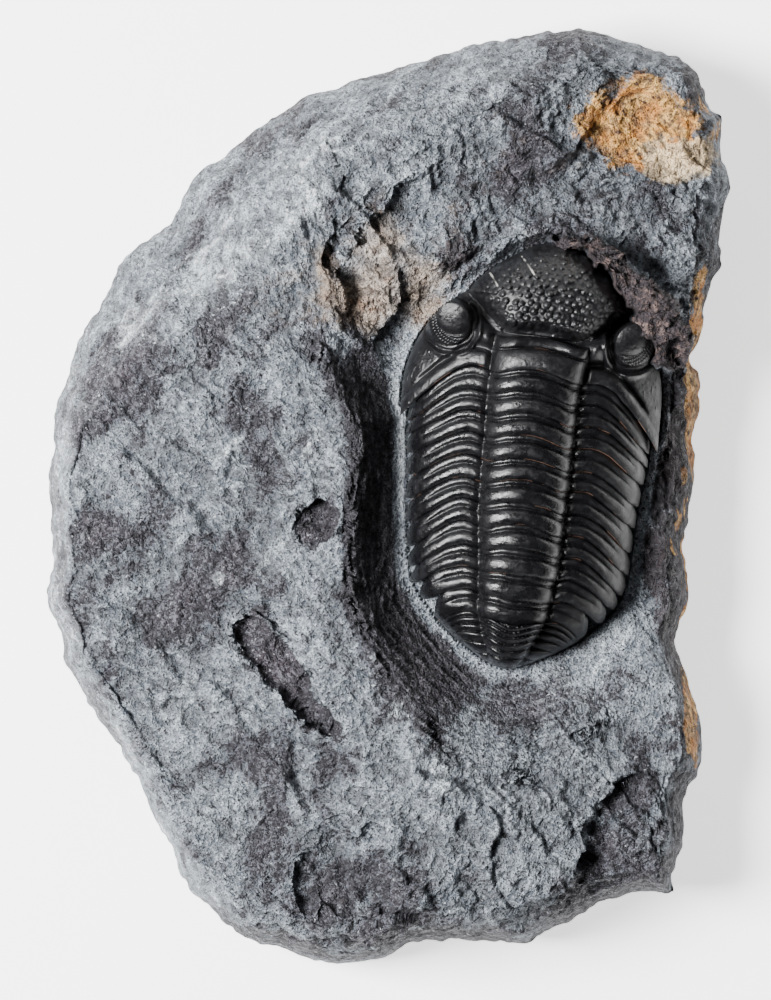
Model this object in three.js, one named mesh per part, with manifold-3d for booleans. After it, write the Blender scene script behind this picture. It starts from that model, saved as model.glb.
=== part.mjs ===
// A trilobite fossil lying in the prepared hollow of a block of grey limestone.
// The animal is of the Phacops and Drotops family: a head shield, eleven thorax segments and a
// tail shield, all of black calcite, which lie over a core of the same stone as the block.
// Millimetres, +Z up. The block rests on its flat base at z = 0, and the head points towards +Y.
import * as THREE from "three";
import { mergeVertices } from "three/addons/utils/BufferGeometryUtils.js";
import Module from "manifold-3d";

// Where the animal lies on the block, and how it is turned and tilted.
const BODY_X = 28.6;
const BODY_Y = 12.3;
const BODY_TURN = THREE.MathUtils.degToRad(-8);
const MARGIN_Z = 29;
const ROLL = -0.07;
const PITCH = 0.03;

// The animal's own frame has its middle at the thorax, +y to the head and z = 0 at its margin.
const SEGMENTS = 11;
const HALF_WIDTH = 25.8;
const CREST = 19;
const TAIL_Y = -47.5;
const TAIL_HALF_WIDTH = 16.6;
const TAIL_LENGTH = 10.1;
const WIDEST_Y = -3.4;
const THORAX_FRONT_Y = 14.5;
const RING_PITCH = 4.59;
const AXIS_HALF_WIDTH = 9.8;
const FULCRUM_SHARE = 0.5;
const PLEURA_SHARE = 0.78;
const CHEEK_HALF_WIDTH = 27.6;
const CHEEK_LENGTH = 24.5;
const CHEEK_Y = 6;
const GLABELLA_HALF_WIDTH = 17.3;
const GLABELLA_Y = 29.8;
const GLABELLA_LENGTH = 13.6;
const GLABELLA_BACK_Y = 22.2;
const GLABELLA_POWER = 1.35;
const OCCIPITAL_HALF_WIDTH = 9.6;
const EYES = [
  { x: -18.6, y: 22.6 },
  { x: 18.4, y: 23.2 },
];
const EYE_TOP = 14.4;
const EYE_RADIUS = 4.6;

// How far the rear edge of the head shield and of each segment is swept back at its tips.
const SWEEPS = [10.3, 9.2, 7.4, 7, 7, 7.3, 7.8, 8, 7.6, 6.4, 5, 4];

// The animal lies a little bent: its middle line waves BEND to each side over BEND_LENGTH.
const BEND = 1.05;
const BEND_LENGTH = 86;
const BEND_SHIFT = 0.2;
const BEND_Y = -32;

// The shell plates, the gap between neighbours, and their clearance to the stone.
const PLATE = 3;
const GAP = 0.3;
const ROOM_SIDE = 2.2;
const ROOM_UNDER = 0.6;
const ROOM_COLUMNS = 44;
const CORE_LOW = 2;

// The block's outline, clockwise from its highest point, as [x, y, rim height, bevel width].
// The rim is where the top's bevel meets the side wall.
const OUTLINE = [
  [36, 99.5, 18, 12], [46.5, 98.5, 18, 10], [56, 94.5, 19, 8], [63, 91, 20, 6], [65, 86, 20, 5],
  [70, 81.5, 20, 5], [70.5, 73, 20, 5], [72, 67, 20, 6], [71, 61.5, 20, 6], [71, 53, 18, 7],
  [68.5, 45, 16, 8], [66.5, 36.5, 14, 9], [64.5, 30, 12, 9], [66, 21.5, 12, 9], [65, 12.5, 11, 10],
  [63, 2, 11, 10], [64, -10, 11, 10], [63.5, -20.5, 12, 9], [61, -29.5, 13, 8], [63, -37, 14, 8],
  [66, -45.5, 15, 8], [66, -54, 15, 7], [63, -63.5, 15, 6], [63, -71.5, 15, 5], [61, -77.5, 14, 5],
  [60, -83.5, 13, 5], [52.5, -84, 12, 7], [43.5, -86.5, 11, 8], [34.5, -91, 10, 9], [29.5, -95, 10, 9],
  [19, -94, 10, 9], [9.5, -94, 10, 9], [2.5, -97.5, 10, 10], [-8, -99.5, 10, 10], [-18.5, -97.5, 11, 9],
  [-30, -93, 12, 8], [-39.5, -85.5, 13, 7], [-45.5, -77.5, 14, 6], [-48, -69, 14, 6], [-53.5, -60, 15, 6],
  [-59.5, -46.5, 15, 6], [-66.5, -36.5, 16, 6], [-69.5, -28, 17, 5], [-72, -20.5, 18, 5], [-71, -12, 18, 5],
  [-71.5, -1.5, 18, 5], [-71, 9, 18, 6], [-70.5, 18.5, 17, 8], [-68.5, 27, 16, 12], [-65, 36, 15, 17],
  [-59.5, 45.5, 14, 22], [-50, 56.5, 14, 26], [-40.5, 68.5, 14, 26], [-31.5, 75.5, 14, 24],
  [-20.5, 84.5, 15, 22], [-8, 87.5, 16, 19], [4.5, 91.5, 17, 17], [16, 95.5, 18, 15], [26.5, 97.5, 18, 13],
];
const BASE_SCALE = 0.9;
const BLOCK_CENTRE = [18, 4];

// How steeply the hollow's wall climbs from the animal, by direction round it in steps of an
// eighth of a turn, from +x round to the head, the left side and the tail.
const WALL_SLOPES = [-0.12, 0.9, 3, 0.5, 1.4, 1.2, 0.5, 0.05];
const WALL_FOOT = 1.2;

// Mesh density.
const AROUND = 76;
const TOP_RINGS = 18;

const clamp = (value, low, high) => Math.min(Math.max(value, low), high);
const mix = (a, b, t) => a + (b - a) * t;
const smooth = (low, high, value) => THREE.MathUtils.smoothstep(value, low, high);
const bump = (x, y, cx, cy, rx, ry) => Math.exp(-(((x - cx) / rx) ** 2) - ((y - cy) / ry) ** 2);

function softMin(a, b, width) {
  const t = clamp(0.5 + (b - a) / (2 * width), 0, 1);
  return mix(b, a, t) - width * t * (1 - t);
}

const softMax = (a, b, width) => -softMin(-a, -b, width);

// How far the body's middle line lies to the right of the y axis.
const bend = (y) => BEND_SHIFT + BEND * Math.cos((2 * Math.PI * (y - BEND_Y)) / BEND_LENGTH);

// The share of the crest that is left at a body station: 1 over the thorax, 0 at the tail's tip.
function towardsTail(y, power) {
  const t = clamp((WIDEST_Y - y) / (WIDEST_Y - TAIL_Y), 0, 1);
  return Math.sqrt(1 - t ** power);
}

// The body's half width: full to the widest place, then drawn in, and straight sided to the tip.
function bodyHalfWidth(y) {
  const thorax = HALF_WIDTH * towardsTail(y, 3);
  const tail = TAIL_HALF_WIDTH * Math.max(0, (y - TAIL_Y) / TAIL_LENGTH) ** 0.74;
  return softMin(thorax, tail, 1);
}

const bodyCrest = (y) => CREST * towardsTail(y, 4);
const axisHalfWidth = (y) => AXIS_HALF_WIDTH * mix(0.42, 1, towardsTail(y, 2.5));

// Height of the thorax and tail over their margin, without the relief of single segments.
function thoraxHeight(x, y) {
  const across = clamp(Math.abs(x) / Math.max(bodyHalfWidth(y), 0.01), 0, 1);
  const pleura = PLEURA_SHARE * bodyCrest(y) * Math.sqrt(1 - across ** 3);
  const onAxis = clamp(Math.abs(x) / axisHalfWidth(y), 0, 1);
  return pleura + (1 - PLEURA_SHARE) * bodyCrest(y) * (1 - onAxis ** 2.4) ** 0.6;
}

// The front edge of the head shield at a distance x from the axis.
function headFrontY(x) {
  const far = Math.abs(x);
  const cheek = CHEEK_Y + CHEEK_LENGTH * Math.sqrt(clamp(1 - (far / CHEEK_HALF_WIDTH) ** 2.2, 0, 1));
  if (far >= GLABELLA_HALF_WIDTH) return cheek;
  const round = (1 - (far / GLABELLA_HALF_WIDTH) ** GLABELLA_POWER) ** (1 / GLABELLA_POWER);
  return Math.max(cheek, GLABELLA_Y + GLABELLA_LENGTH * round);
}

// The glabella: kite shaped, as wide as the occipital ring behind, highest behind, and steep at
// its edge. It falls to nothing behind its rear edge.
function glabellaHeight(x, y) {
  const back = clamp((y - GLABELLA_BACK_Y) / (GLABELLA_Y - GLABELLA_BACK_Y), 0, 1);
  const halfWidth = mix(OCCIPITAL_HALF_WIDTH, GLABELLA_HALF_WIDTH, back);
  const front = clamp((y - GLABELLA_Y) / GLABELLA_LENGTH, 0, 1);
  const out = clamp((Math.abs(x) / halfWidth) ** GLABELLA_POWER + front ** GLABELLA_POWER, 0, 1);
  const slope = 0.3 * (x / GLABELLA_HALF_WIDTH) ** 2 + 0.6 * front ** 2;
  const rear = smooth(GLABELLA_BACK_Y - 2, GLABELLA_BACK_Y + 1, y);
  return (CREST + 2) * (1 - slope) * Math.sqrt(1 - out ** 3) * rear;
}

// The head's height over its margin: cheeks, glabella, occipital ring and the eyes' turrets.
function headHeight(x, y) {
  const ahead = clamp((y - CHEEK_Y) / CHEEK_LENGTH, 0, 1);
  const out = clamp((Math.abs(x) / CHEEK_HALF_WIDTH) ** 2.2 + ahead ** 2, 0, 1);
  let z = 0.72 * CREST * Math.sqrt(1 - out);
  z = softMax(z, glabellaHeight(x, y), 1);
  const ring = clamp(1 - (Math.abs(x) / OCCIPITAL_HALF_WIDTH) ** 2.4, 0, 1) ** 0.6;
  z += 0.27 * CREST * ring * (1 - smooth(GLABELLA_BACK_Y - 3.5, GLABELLA_BACK_Y - 1.5, y));
  EYES.forEach((eye) => {
    const turret = EYE_TOP * Math.min(1, 1.6 * bump(x, y, eye.x, eye.y, EYE_RADIUS, EYE_RADIUS));
    z = Math.max(z, turret * (1 - out ** 8));
  });
  return z;
}

// Height of the dome that the plates' undersides follow, PLATE lower. It is zero on the margin.
function coreHeight(x, y) {
  const head = Math.max(0, (y - CHEEK_Y) / (GLABELLA_Y + GLABELLA_LENGTH - CHEEK_Y));
  const tail = Math.max(0, (WIDEST_Y - y) / (WIDEST_Y - TAIL_Y));
  return PLEURA_SHARE * CREST * (1 - (x / HALF_WIDTH) ** 2 - head ** 3 - tail ** 3);
}

// The body's outline behind its widest place, as the y of a distance x from the axis.
function rearOutlineY(x, outwards) {
  const across = clamp(Math.abs(x) / (HALF_WIDTH + outwards), 0, 1);
  return WIDEST_Y - (WIDEST_Y - TAIL_Y + outwards) * Math.cbrt(1 - across ** 2);
}

// How far out segment i reaches, so that its tips end on the body's margin.
function tipX(i) {
  return bodyHalfWidth(THORAX_FRONT_Y - (i - 0.2) * RING_PITCH - SWEEPS[i] * 0.9);
}

// The rear edge of segment i, and of the head shield for i = 0: straight over the axis, and swept
// back beyond the fulcrum.
function edgeY(i, x) {
  const beyond = clamp((Math.abs(x) / tipX(i) - FULCRUM_SHARE) / (1 - FULCRUM_SHARE), 0, 1.2);
  return THORAX_FRONT_Y - i * RING_PITCH - SWEEPS[i] * beyond ** 1.5;
}

// Tilts a height over the margin into the block's heights.
const tilted = (x, y, z) => MARGIN_Z + ROLL * x + PITCH * y + z;

// A closed slab over a grid of plan points, between the heights that bottom and top give. It is
// bent as the animal is.
function slabGeometry({ columns, rows, plan, bottom, top }) {
  const positions = [];
  const indices = [];
  const at = (side, c, r) => (side * (rows + 1) + r) * (columns + 1) + c;
  for (let side = 0; side < 2; side += 1) {
    for (let r = 0; r <= rows; r += 1) {
      for (let c = 0; c <= columns; c += 1) {
        const [x, y] = plan(c / columns, r / rows);
        positions.push(x + bend(y), y, tilted(x, y, (side ? top : bottom)(x, y, r / rows)));
      }
    }
  }
  const quad = (a, b, c, d) => indices.push(a, b, c, a, c, d);
  for (let r = 0; r < rows; r += 1) {
    for (let c = 0; c < columns; c += 1) {
      quad(at(1, c, r), at(1, c + 1, r), at(1, c + 1, r + 1), at(1, c, r + 1));
      quad(at(0, c, r), at(0, c, r + 1), at(0, c + 1, r + 1), at(0, c + 1, r));
    }
  }
  for (let c = 0; c < columns; c += 1) {
    quad(at(0, c, 0), at(0, c + 1, 0), at(1, c + 1, 0), at(1, c, 0));
    quad(at(0, c + 1, rows), at(0, c, rows), at(1, c, rows), at(1, c + 1, rows));
  }
  for (let r = 0; r < rows; r += 1) {
    quad(at(0, 0, r + 1), at(0, 0, r), at(1, 0, r), at(1, 0, r + 1));
    quad(at(0, columns, r), at(0, columns, r + 1), at(1, columns, r + 1), at(1, columns, r));
  }
  const geometry = new THREE.BufferGeometry();
  geometry.setAttribute("position", new THREE.Float32BufferAttribute(positions, 3));
  geometry.setIndex(indices);
  return geometry;
}

// Columns run from -1 to 1 across the body, closer together where the flanks fall steeply.
const acrossBody = (u) => Math.sin((u - 0.5) * Math.PI);

// A segment's relief: a low front band, a furrow, and a round ring that ends in a step.
const segmentRelief = (v) => 1.3 * Math.sin(Math.PI * clamp((0.85 - v) / 0.95, 0, 1)) - 0.5;

function segmentPlan(i) {
  return (u, v) => {
    const x = acrossBody(u) * tipX(i);
    return [x, mix(edgeY(i, x) + GAP / 2, edgeY(i - 1, x) - GAP / 2, v)];
  };
}

function tailPlan(u, v) {
  const x = acrossBody(u) * tipX(SEGMENTS);
  const front = edgeY(SEGMENTS, x) - GAP / 2;
  const point = TAIL_Y + TAIL_LENGTH * (Math.abs(x) / TAIL_HALF_WIDTH) ** 1.35;
  const rear = Math.min(point, front - 1);
  return [x, mix(rear, front, Math.sin((v * Math.PI) / 2))];
}

function headPlan(u, v) {
  const x = acrossBody(u) * (CHEEK_HALF_WIDTH - 0.4);
  const rear = edgeY(0, x) + GAP / 2;
  return [x, mix(rear, Math.max(headFrontY(x), rear + 1), Math.sin((v * Math.PI) / 2))];
}

// Every shell plate, from the head to the tail.
const plates = [{ name: "head_shield", columns: 46, rows: 22, plan: headPlan, top: headHeight }];
for (let i = 1; i <= SEGMENTS; i += 1) {
  plates.push({
    name: `thorax_segment_${String(i).padStart(2, "0")}`,
    columns: 18,
    rows: 3,
    plan: segmentPlan(i),
    top: (x, y, v) => thoraxHeight(x, y) + segmentRelief(v),
  });
}
plates.push({ name: "tail_shield", columns: 16, rows: 5, plan: tailPlan, top: thoraxHeight });
plates.forEach((plate) => {
  plate.bottom = (x, y) => coreHeight(x, y) - PLATE;
});

// The block's outline as a smooth closed curve through its points; z carries the rim height.
const rimCurve = new THREE.CatmullRomCurve3(
  OUTLINE.map(([x, y, rim]) => new THREE.Vector3(x, y, rim)),
  true,
  "centripetal",
);
const bevelCurve = new THREE.CatmullRomCurve3(
  OUTLINE.map(([x, y, , bevel]) => new THREE.Vector3(x, y, bevel)),
  true,
  "centripetal",
);

// Nearest place on a closed polygon of points: the distance, and where it lies from 0 to 1.
function nearestOn(points, x, y) {
  let best = { distance: Infinity, place: 0 };
  points.forEach((a, k) => {
    const b = points[(k + 1) % points.length];
    const [dx, dy] = [b.x - a.x, b.y - a.y];
    const t = clamp(((x - a.x) * dx + (y - a.y) * dy) / (dx * dx + dy * dy), 0, 1);
    const distance = Math.hypot(x - a.x - t * dx, y - a.y - t * dy);
    if (distance < best.distance) best = { distance, place: (k + t) / points.length };
  });
  return best;
}

const RIM_SAMPLES = 2 * OUTLINE.length;
const rimPoints = Array.from({ length: RIM_SAMPLES }, (_, k) => rimCurve.getPoint(k / RIM_SAMPLES));

// The animal's outline in its own frame, for the hollow round it.
const OUTLINE_STEPS = 24;
const SHOULDER_Y = 4;
const steps = Array.from({ length: OUTLINE_STEPS }, (_, k) => k / OUTLINE_STEPS);
const headEdge = steps.map((t) => {
  const x = acrossBody(t) * CHEEK_HALF_WIDTH;
  return new THREE.Vector2(x, headFrontY(x));
});
const rightEdge = steps.map((t) => {
  const y = mix(SHOULDER_Y, TAIL_Y, Math.sin((t * Math.PI) / 2));
  return new THREE.Vector2(bodyHalfWidth(y), y);
});
const leftEdge = rightEdge.map((p) => new THREE.Vector2(-p.x, p.y)).reverse();
const bodyOutline = [...headEdge, ...rightEdge, new THREE.Vector2(0, TAIL_Y), ...leftEdge];

function insideBody(x, y) {
  if (y > SHOULDER_Y) return y < headFrontY(x) && Math.abs(x) < CHEEK_HALF_WIDTH;
  return y > TAIL_Y && Math.abs(x) < bodyHalfWidth(y);
}

// The stone's height in and round the animal: the core under the shell, then the hollow's wall.
function hollowHeight(blockX, blockY) {
  const dx = blockX - BODY_X;
  const dy = blockY - BODY_Y;
  const y = dy * Math.cos(BODY_TURN) - dx * Math.sin(BODY_TURN);
  const x = dx * Math.cos(BODY_TURN) + dy * Math.sin(BODY_TURN) - bend(y);
  if (insideBody(x, y)) return tilted(x, y, Math.max(0, coreHeight(x, y) - CORE_LOW));
  const eighths = (Math.atan2(y, x) / (Math.PI / 4) + 8) % 8;
  const first = Math.floor(eighths);
  const share = smooth(0, 1, eighths - first);
  const slope = mix(WALL_SLOPES[first % 8], WALL_SLOPES[(first + 1) % 8], share);
  const away = nearestOn(bodyOutline, x, y).distance;
  return tilted(x, y, slope * Math.max(0, away - WALL_FOOT) ** 1.1);
}

// The block's top before the hollow: a left and a right face that meet in a low ridge, with the
// bevel along the rim, two flake scars and the crust left beside the head.
function faceHeight(x, y) {
  const left = 44 + 0.12 * (x + 9) + 0.05 * (y - 10);
  const right = 43 - 0.16 * x;
  const near = nearestOn(rimPoints, x, y);
  const rim = rimCurve.getPoint(near.place).z;
  const bevel = bevelCurve.getPoint(near.place).z;
  const face = softMin(left, right, 3);
  const climb = clamp(near.distance / bevel, 0, 1);
  let z = mix(rim, face, Math.sin((climb * Math.PI) / 2) ** 0.9);
  z -= 4.5 * bump(x, y, 54, 78, 12, 11);
  z -= 3.5 * bump(x, y, 50, -69, 11, 11);
  return z;
}

function topHeight(x, y) {
  const z = softMin(faceHeight(x, y), hollowHeight(x, y), 1.5);
  const crust = 6 * bump(x, y, 57.5, 35, 5.5, 6.5) + 4 * bump(x, y, 50, 48, 6, 5);
  return z + crust;
}

// The block: rings of the outline from the middle to the rim over the top, then down the side
// wall and in over the flat base.
function blockGeometry() {
  const [cx, cy] = BLOCK_CENTRE;
  const positions = [cx, cy, topHeight(cx, cy)];
  const indices = [];
  const addRing = (scaleAt, heightAt) => {
    for (let k = 0; k < AROUND; k += 1) {
      const rim = rimCurve.getPoint(k / AROUND);
      const x = mix(cx, rim.x, scaleAt);
      const y = mix(cy, rim.y, scaleAt);
      positions.push(x, y, heightAt(x, y, rim.z));
    }
  };
  for (let r = 1; r < TOP_RINGS; r += 1) addRing(r / TOP_RINGS, topHeight);
  addRing(1, (x, y, rim) => rim);
  addRing(0.985, (x, y, rim) => rim * 0.55);
  addRing(0.95, (x, y, rim) => rim * 0.2);
  addRing(BASE_SCALE, () => 0);
  addRing(BASE_SCALE / 2, () => 0);
  const rings = TOP_RINGS + 4;
  positions.push(cx, cy, 0);
  const last = 1 + rings * AROUND;
  const at = (ring, k) => 1 + ring * AROUND + (k % AROUND);
  for (let k = 0; k < AROUND; k += 1) {
    indices.push(0, at(0, k + 1), at(0, k));
    indices.push(last, at(rings - 1, k), at(rings - 1, k + 1));
    for (let ring = 0; ring < rings - 1; ring += 1) {
      indices.push(at(ring, k), at(ring, k + 1), at(ring + 1, k + 1));
      indices.push(at(ring, k), at(ring + 1, k + 1), at(ring + 1, k));
    }
  }
  const geometry = new THREE.BufferGeometry();
  geometry.setAttribute("position", new THREE.Float32BufferAttribute(positions, 3));
  geometry.setIndex(indices);
  return geometry;
}

const wasm = await Module();
wasm.setup();

function toSolid(geometry) {
  const merged = mergeVertices(geometry, 1e-4);
  return new wasm.Manifold(
    new wasm.Mesh({
      numProp: 3,
      vertProperties: merged.attributes.position.array,
      triVerts: new Uint32Array(merged.index.array),
    }),
  );
}

function toGeometry(solid) {
  const mesh = solid.getMesh();
  const geometry = new THREE.BufferGeometry();
  geometry.setAttribute("position", new THREE.BufferAttribute(mesh.vertProperties, 3));
  geometry.setIndex(new THREE.BufferAttribute(mesh.triVerts, 1));
  return geometry;
}

// The animal's group, turned and placed on the block.
const animal = new THREE.Group();
animal.position.set(BODY_X, BODY_Y, 0);
animal.rotation.z = BODY_TURN;
animal.updateMatrix();

// The room that the animal takes in the block, open to the sky: one slab over the head and one
// over the thorax and tail, each wider than its plates and lower than their undersides.
function headRoom(u, v) {
  const x = acrossBody(u) * (HALF_WIDTH + ROOM_SIDE);
  const [rear, front] = [edgeY(0, x) - ROOM_SIDE, headFrontY(x) + ROOM_SIDE];
  return [x, mix(rear, Math.max(front, rear + 1), Math.sin((v * Math.PI) / 2))];
}

function thoraxRoom(u, v) {
  const x = acrossBody(u) * (HALF_WIDTH + ROOM_SIDE);
  const front = edgeY(0, x) + ROOM_SIDE;
  const rear = Math.min(rearOutlineY(x, ROOM_SIDE), front - 12);
  return [x, mix(rear, front, v)];
}

// The block with the animal's seat cut out of it.
function seatedBlock() {
  const bottom = (x, y) => coreHeight(x, y) - PLATE - ROOM_UNDER;
  const top = () => 2 * CREST;
  const rooms = [
    { columns: ROOM_COLUMNS, rows: 5, plan: headRoom, bottom, top },
    { columns: ROOM_COLUMNS, rows: 10, plan: thoraxRoom, bottom, top },
  ];
  let block = toSolid(blockGeometry());
  rooms.forEach((room) => {
    block = block.subtract(toSolid(slabGeometry(room).applyMatrix4(animal.matrix)));
  });
  return toGeometry(block);
}

function makeMesh(name, geometry, color, roughness) {
  const material = new THREE.MeshStandardMaterial({ color, roughness, metalness: 0 });
  const mesh = new THREE.Mesh(geometry, material);
  mesh.name = name;
  return mesh;
}

const STONE_GREY = "#83898d";
const SHELL_BLACK = "#17181a";

plates.forEach((plate) => {
  animal.add(makeMesh(plate.name, slabGeometry(plate), SHELL_BLACK, 0.35));
});

const fossil = new THREE.Group();
fossil.add(makeMesh("limestone_block", seatedBlock(), STONE_GREY, 0.9), animal);

export default fossil;
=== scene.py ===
import math

import bpy
import numpy as np
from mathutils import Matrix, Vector


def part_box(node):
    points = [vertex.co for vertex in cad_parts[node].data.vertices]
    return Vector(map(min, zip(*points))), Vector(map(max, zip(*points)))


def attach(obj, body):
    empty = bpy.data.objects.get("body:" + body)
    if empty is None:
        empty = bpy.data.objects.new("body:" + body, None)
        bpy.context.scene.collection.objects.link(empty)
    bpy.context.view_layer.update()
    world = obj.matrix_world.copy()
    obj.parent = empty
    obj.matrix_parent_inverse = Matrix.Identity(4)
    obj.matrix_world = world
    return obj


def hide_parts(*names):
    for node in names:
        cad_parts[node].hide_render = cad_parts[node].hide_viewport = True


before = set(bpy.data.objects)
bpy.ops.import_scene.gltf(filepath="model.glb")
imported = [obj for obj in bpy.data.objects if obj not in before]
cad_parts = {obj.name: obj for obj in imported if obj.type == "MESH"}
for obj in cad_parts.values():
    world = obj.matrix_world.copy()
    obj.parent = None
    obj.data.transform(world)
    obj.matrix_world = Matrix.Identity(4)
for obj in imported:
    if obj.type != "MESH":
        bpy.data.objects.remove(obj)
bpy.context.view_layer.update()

MM = 0.001
FULL_CIRCLE = 2 * math.pi

# ---------------------------------------------------------------- the animal's own frame, in mm
# Its middle is at the thorax, +y to the head, z = 0 at its margin.
TURN = math.radians(-8)
MARGIN_Z = 29.0
ROLL = -0.07
PITCH = 0.03
SEGMENTS = 11
HALF_WIDTH = 25.8
CREST = 19.0
TAIL_Y = -47.5
WIDEST_Y = -3.4
THORAX_FRONT_Y = 14.5
RING_PITCH = 4.59
# the flanks' share of the crest's height, and where along a flank its plate turns backward
PLEURA_SHARE = 0.76
FULCRUM_SHARE = 0.5
# how far back the tips of each joint line reach
SWEEPS = [10.3, 9.2, 7.4, 7, 7, 7.3, 7.8, 8, 7.6, 6.4, 5, 4]
# the body's half width at stations from the tail's tip to its widest place
STATIONS = [-47.5, -47.2, -46.0, -42.9, -39.8, -37.0, -35.2, -33, -30.4, -26.3, -21.7, -16.8, -11, -5.5, -1.2]
HALF_WIDTHS = [0, 2.2, 5.0, 10.5, 14.8, 17.4, 19.2, 20.9, 22.2, 23.4, 23.8, 24.2, 24.6, 25.1, 25.7]
SHELL_THICKNESS = 1.7
# the head: its two cheeks, and the swollen glabella between them
HEAD_THICKNESS = 1.8
CHEEK_HALF_WIDTH = 27.6
CHEEK_LENGTH = 29.0
CHEEK_SIDE_POWER = 2.2
CHEEK_FRONT_POWER = 2.36
CHEEK_Y = 6.0
GLABELLA_HALF_WIDTH = 17.3
GLABELLA_BACK_HALF_WIDTH = 9.4
GLABELLA_Y = 29.8
GLABELLA_LENGTH = 13.6
GLABELLA_BACK_Y = 22.2
GLABELLA_POWER = 1.35
TUBERCLE_PITCH = 1.66
LENS_PITCH = 0.66
# each eye's middle and its turn in radians
EYES = [(-19.6, 22.4, 0.55), (19.0, 23.4, -0.35)]
# pale veins across the glabella, each from one point to another
VEINS = [(-13.4, 34.0, -11.4, 31.2), (-7.6, 38.4, -4.4, 34.6), (2.0, 40.2, 3.6, 37.6)]


# ---------------------------------------------------------------- small maths
def clamp(v, lo, hi):
    return np.minimum(np.maximum(v, lo), hi)


def mix(a, b, t):
    return a + (b - a) * t


def smooth(lo, hi, v):
    """0 below lo, 1 above hi, and an even curve between them."""
    t = clamp((v - lo) / (hi - lo), 0, 1)
    return t * t * (3 - 2 * t)


def soft_min(a, b, k):
    """The smaller of a and b, blended where they are less than k apart."""
    t = clamp(0.5 + (b - a) / (2 * k), 0, 1)
    return mix(b, a, t) - k * t * (1 - t)


def soft_max(a, b, k):
    return -soft_min(-a, -b, k)


def bump(x, y, cx, cy, rx, ry, turn=0.0):
    """A bell of height 1 at (cx, cy), with radii rx and ry and a turn in radians."""
    c, s = math.cos(turn), math.sin(turn)
    u = (x - cx) * c + (y - cy) * s
    v = (y - cy) * c - (x - cx) * s
    return np.exp(-((u / rx) ** 2) - (v / ry) ** 2)


def lattice(ix, iy, iz, seed):
    """A repeatable random value from 0 to 1 for each whole point: large primes stir the bits."""
    n = ix * 374761393 + iy * 668265263 + iz * 1440662683 + seed * 974634777
    n = (n ^ (n >> 13)) * 1274126177
    n = n & 0x7FFFFFFF
    n = (n ^ (n >> 15)) * 2246822519
    n = n & 0x7FFFFFFF
    return ((n >> 7) & 0xFFFF) / 65535.0


def noise(x, y, z, size, seed):
    """Smooth value noise from -1 to 1 with features of about size mm."""
    x, y, z = x / size, y / size, z / size
    ix, iy, iz = (np.floor(v).astype(np.int64) for v in (x, y, z))
    fx, fy, fz = x - ix, y - iy, z - iz
    ux, uy, uz = (t * t * t * (t * (t * 6 - 15) + 10) for t in (fx, fy, fz))
    total = 0.0
    for dx in (0, 1):
        for dy in (0, 1):
            for dz in (0, 1):
                w = (ux if dx else 1 - ux) * (uy if dy else 1 - uy) * (uz if dz else 1 - uz)
                total = total + w * lattice(ix + dx, iy + dy, iz + dz, seed)
    return total * 2 - 1


def fbm(x, y, z, size, seed, octaves=4, gain=0.5):
    """Noise on several scales, each half as large as the one before. About -1 to 1."""
    total, amp, norm = 0.0, 1.0, 0.0
    for o in range(octaves):
        total = total + amp * noise(x + 13.7 * o, y - 7.1 * o, z + 3.3 * o, size, seed + o)
        norm += amp
        amp *= gain
        size *= 0.5
    return total / norm


def ridged(x, y, z, size, seed, octaves=4):
    """Noise with sharp crests, from 0 to 1."""
    total, amp, norm = 0.0, 1.0, 0.0
    for o in range(octaves):
        total = total + amp * (1 - np.abs(noise(x, y, z, size, seed + o)))
        norm += amp
        amp *= 0.5
        size *= 0.5
    return total / norm


def facets(x, y, z, size, seed, tilt=0.5, soft=0.12):
    """Chipped stone: each cell is a plane with its own tilt and height, and soft sets its edges."""
    px, py, pz = x / size, y / size, z / size
    ix, iy, iz = (np.floor(v).astype(np.int64) for v in (px, py, pz))
    best = np.full(px.shape, 9.0)
    second = np.full(px.shape, 9.0)
    h1 = np.zeros(px.shape)
    h2 = np.zeros(px.shape)
    for dx in (-1, 0, 1):
        for dy in (-1, 0, 1):
            for dz in (-1, 0, 1):
                cx, cy, cz = ix + dx, iy + dy, iz + dz
                fx = cx + lattice(cx, cy, cz, seed) - px
                fy = cy + lattice(cx, cy, cz, seed + 1) - py
                fz = cz + lattice(cx, cy, cz, seed + 2) - pz
                d = np.sqrt(fx * fx + fy * fy + fz * fz)
                gx = lattice(cx, cy, cz, seed + 3) * 2 - 1
                gy = lattice(cx, cy, cz, seed + 4) * 2 - 1
                h = -(fx * gx + fy * gy) * tilt * 2 + (lattice(cx, cy, cz, seed + 5) * 2 - 1) * 0.4
                near = d < best
                nearer2 = (~near) & (d < second)
                second = np.where(near, best, np.where(nearer2, d, second))
                h2 = np.where(near, h1, np.where(nearer2, h, h2))
                best = np.where(near, d, best)
                h1 = np.where(near, h, h1)
    w = smooth(0, soft, second - best) * 0.5 + 0.5
    return mix(h2, h1, w)


# ---------------------------------------------------------------- the animal's large form
def towards_tail(y, power):
    t = clamp((WIDEST_Y - y) / (WIDEST_Y - TAIL_Y), 0, 1)
    return np.sqrt(1 - t ** power)


def body_half_width(y):
    return np.interp(y, STATIONS, HALF_WIDTHS)


def body_crest(y):
    return CREST * towards_tail(y, 4)


def axis_half_width(y):
    return np.interp(y, [-47.5, -42, -36, -25, -15, 11], [2.4, 5.0, 7.2, 8.4, 9.1, 9.5])


def bend(y):
    """The animal lies a little bent: how far its middle line is to the right of the y axis."""
    at = [-47.5, -36, -25, -15, 0, 11, 20, 30, 43]
    return np.interp(y, at, [1.2, 1.3, 1.2, 0.3, -0.3, -0.8, -0.5, 0, 0.6])


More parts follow.
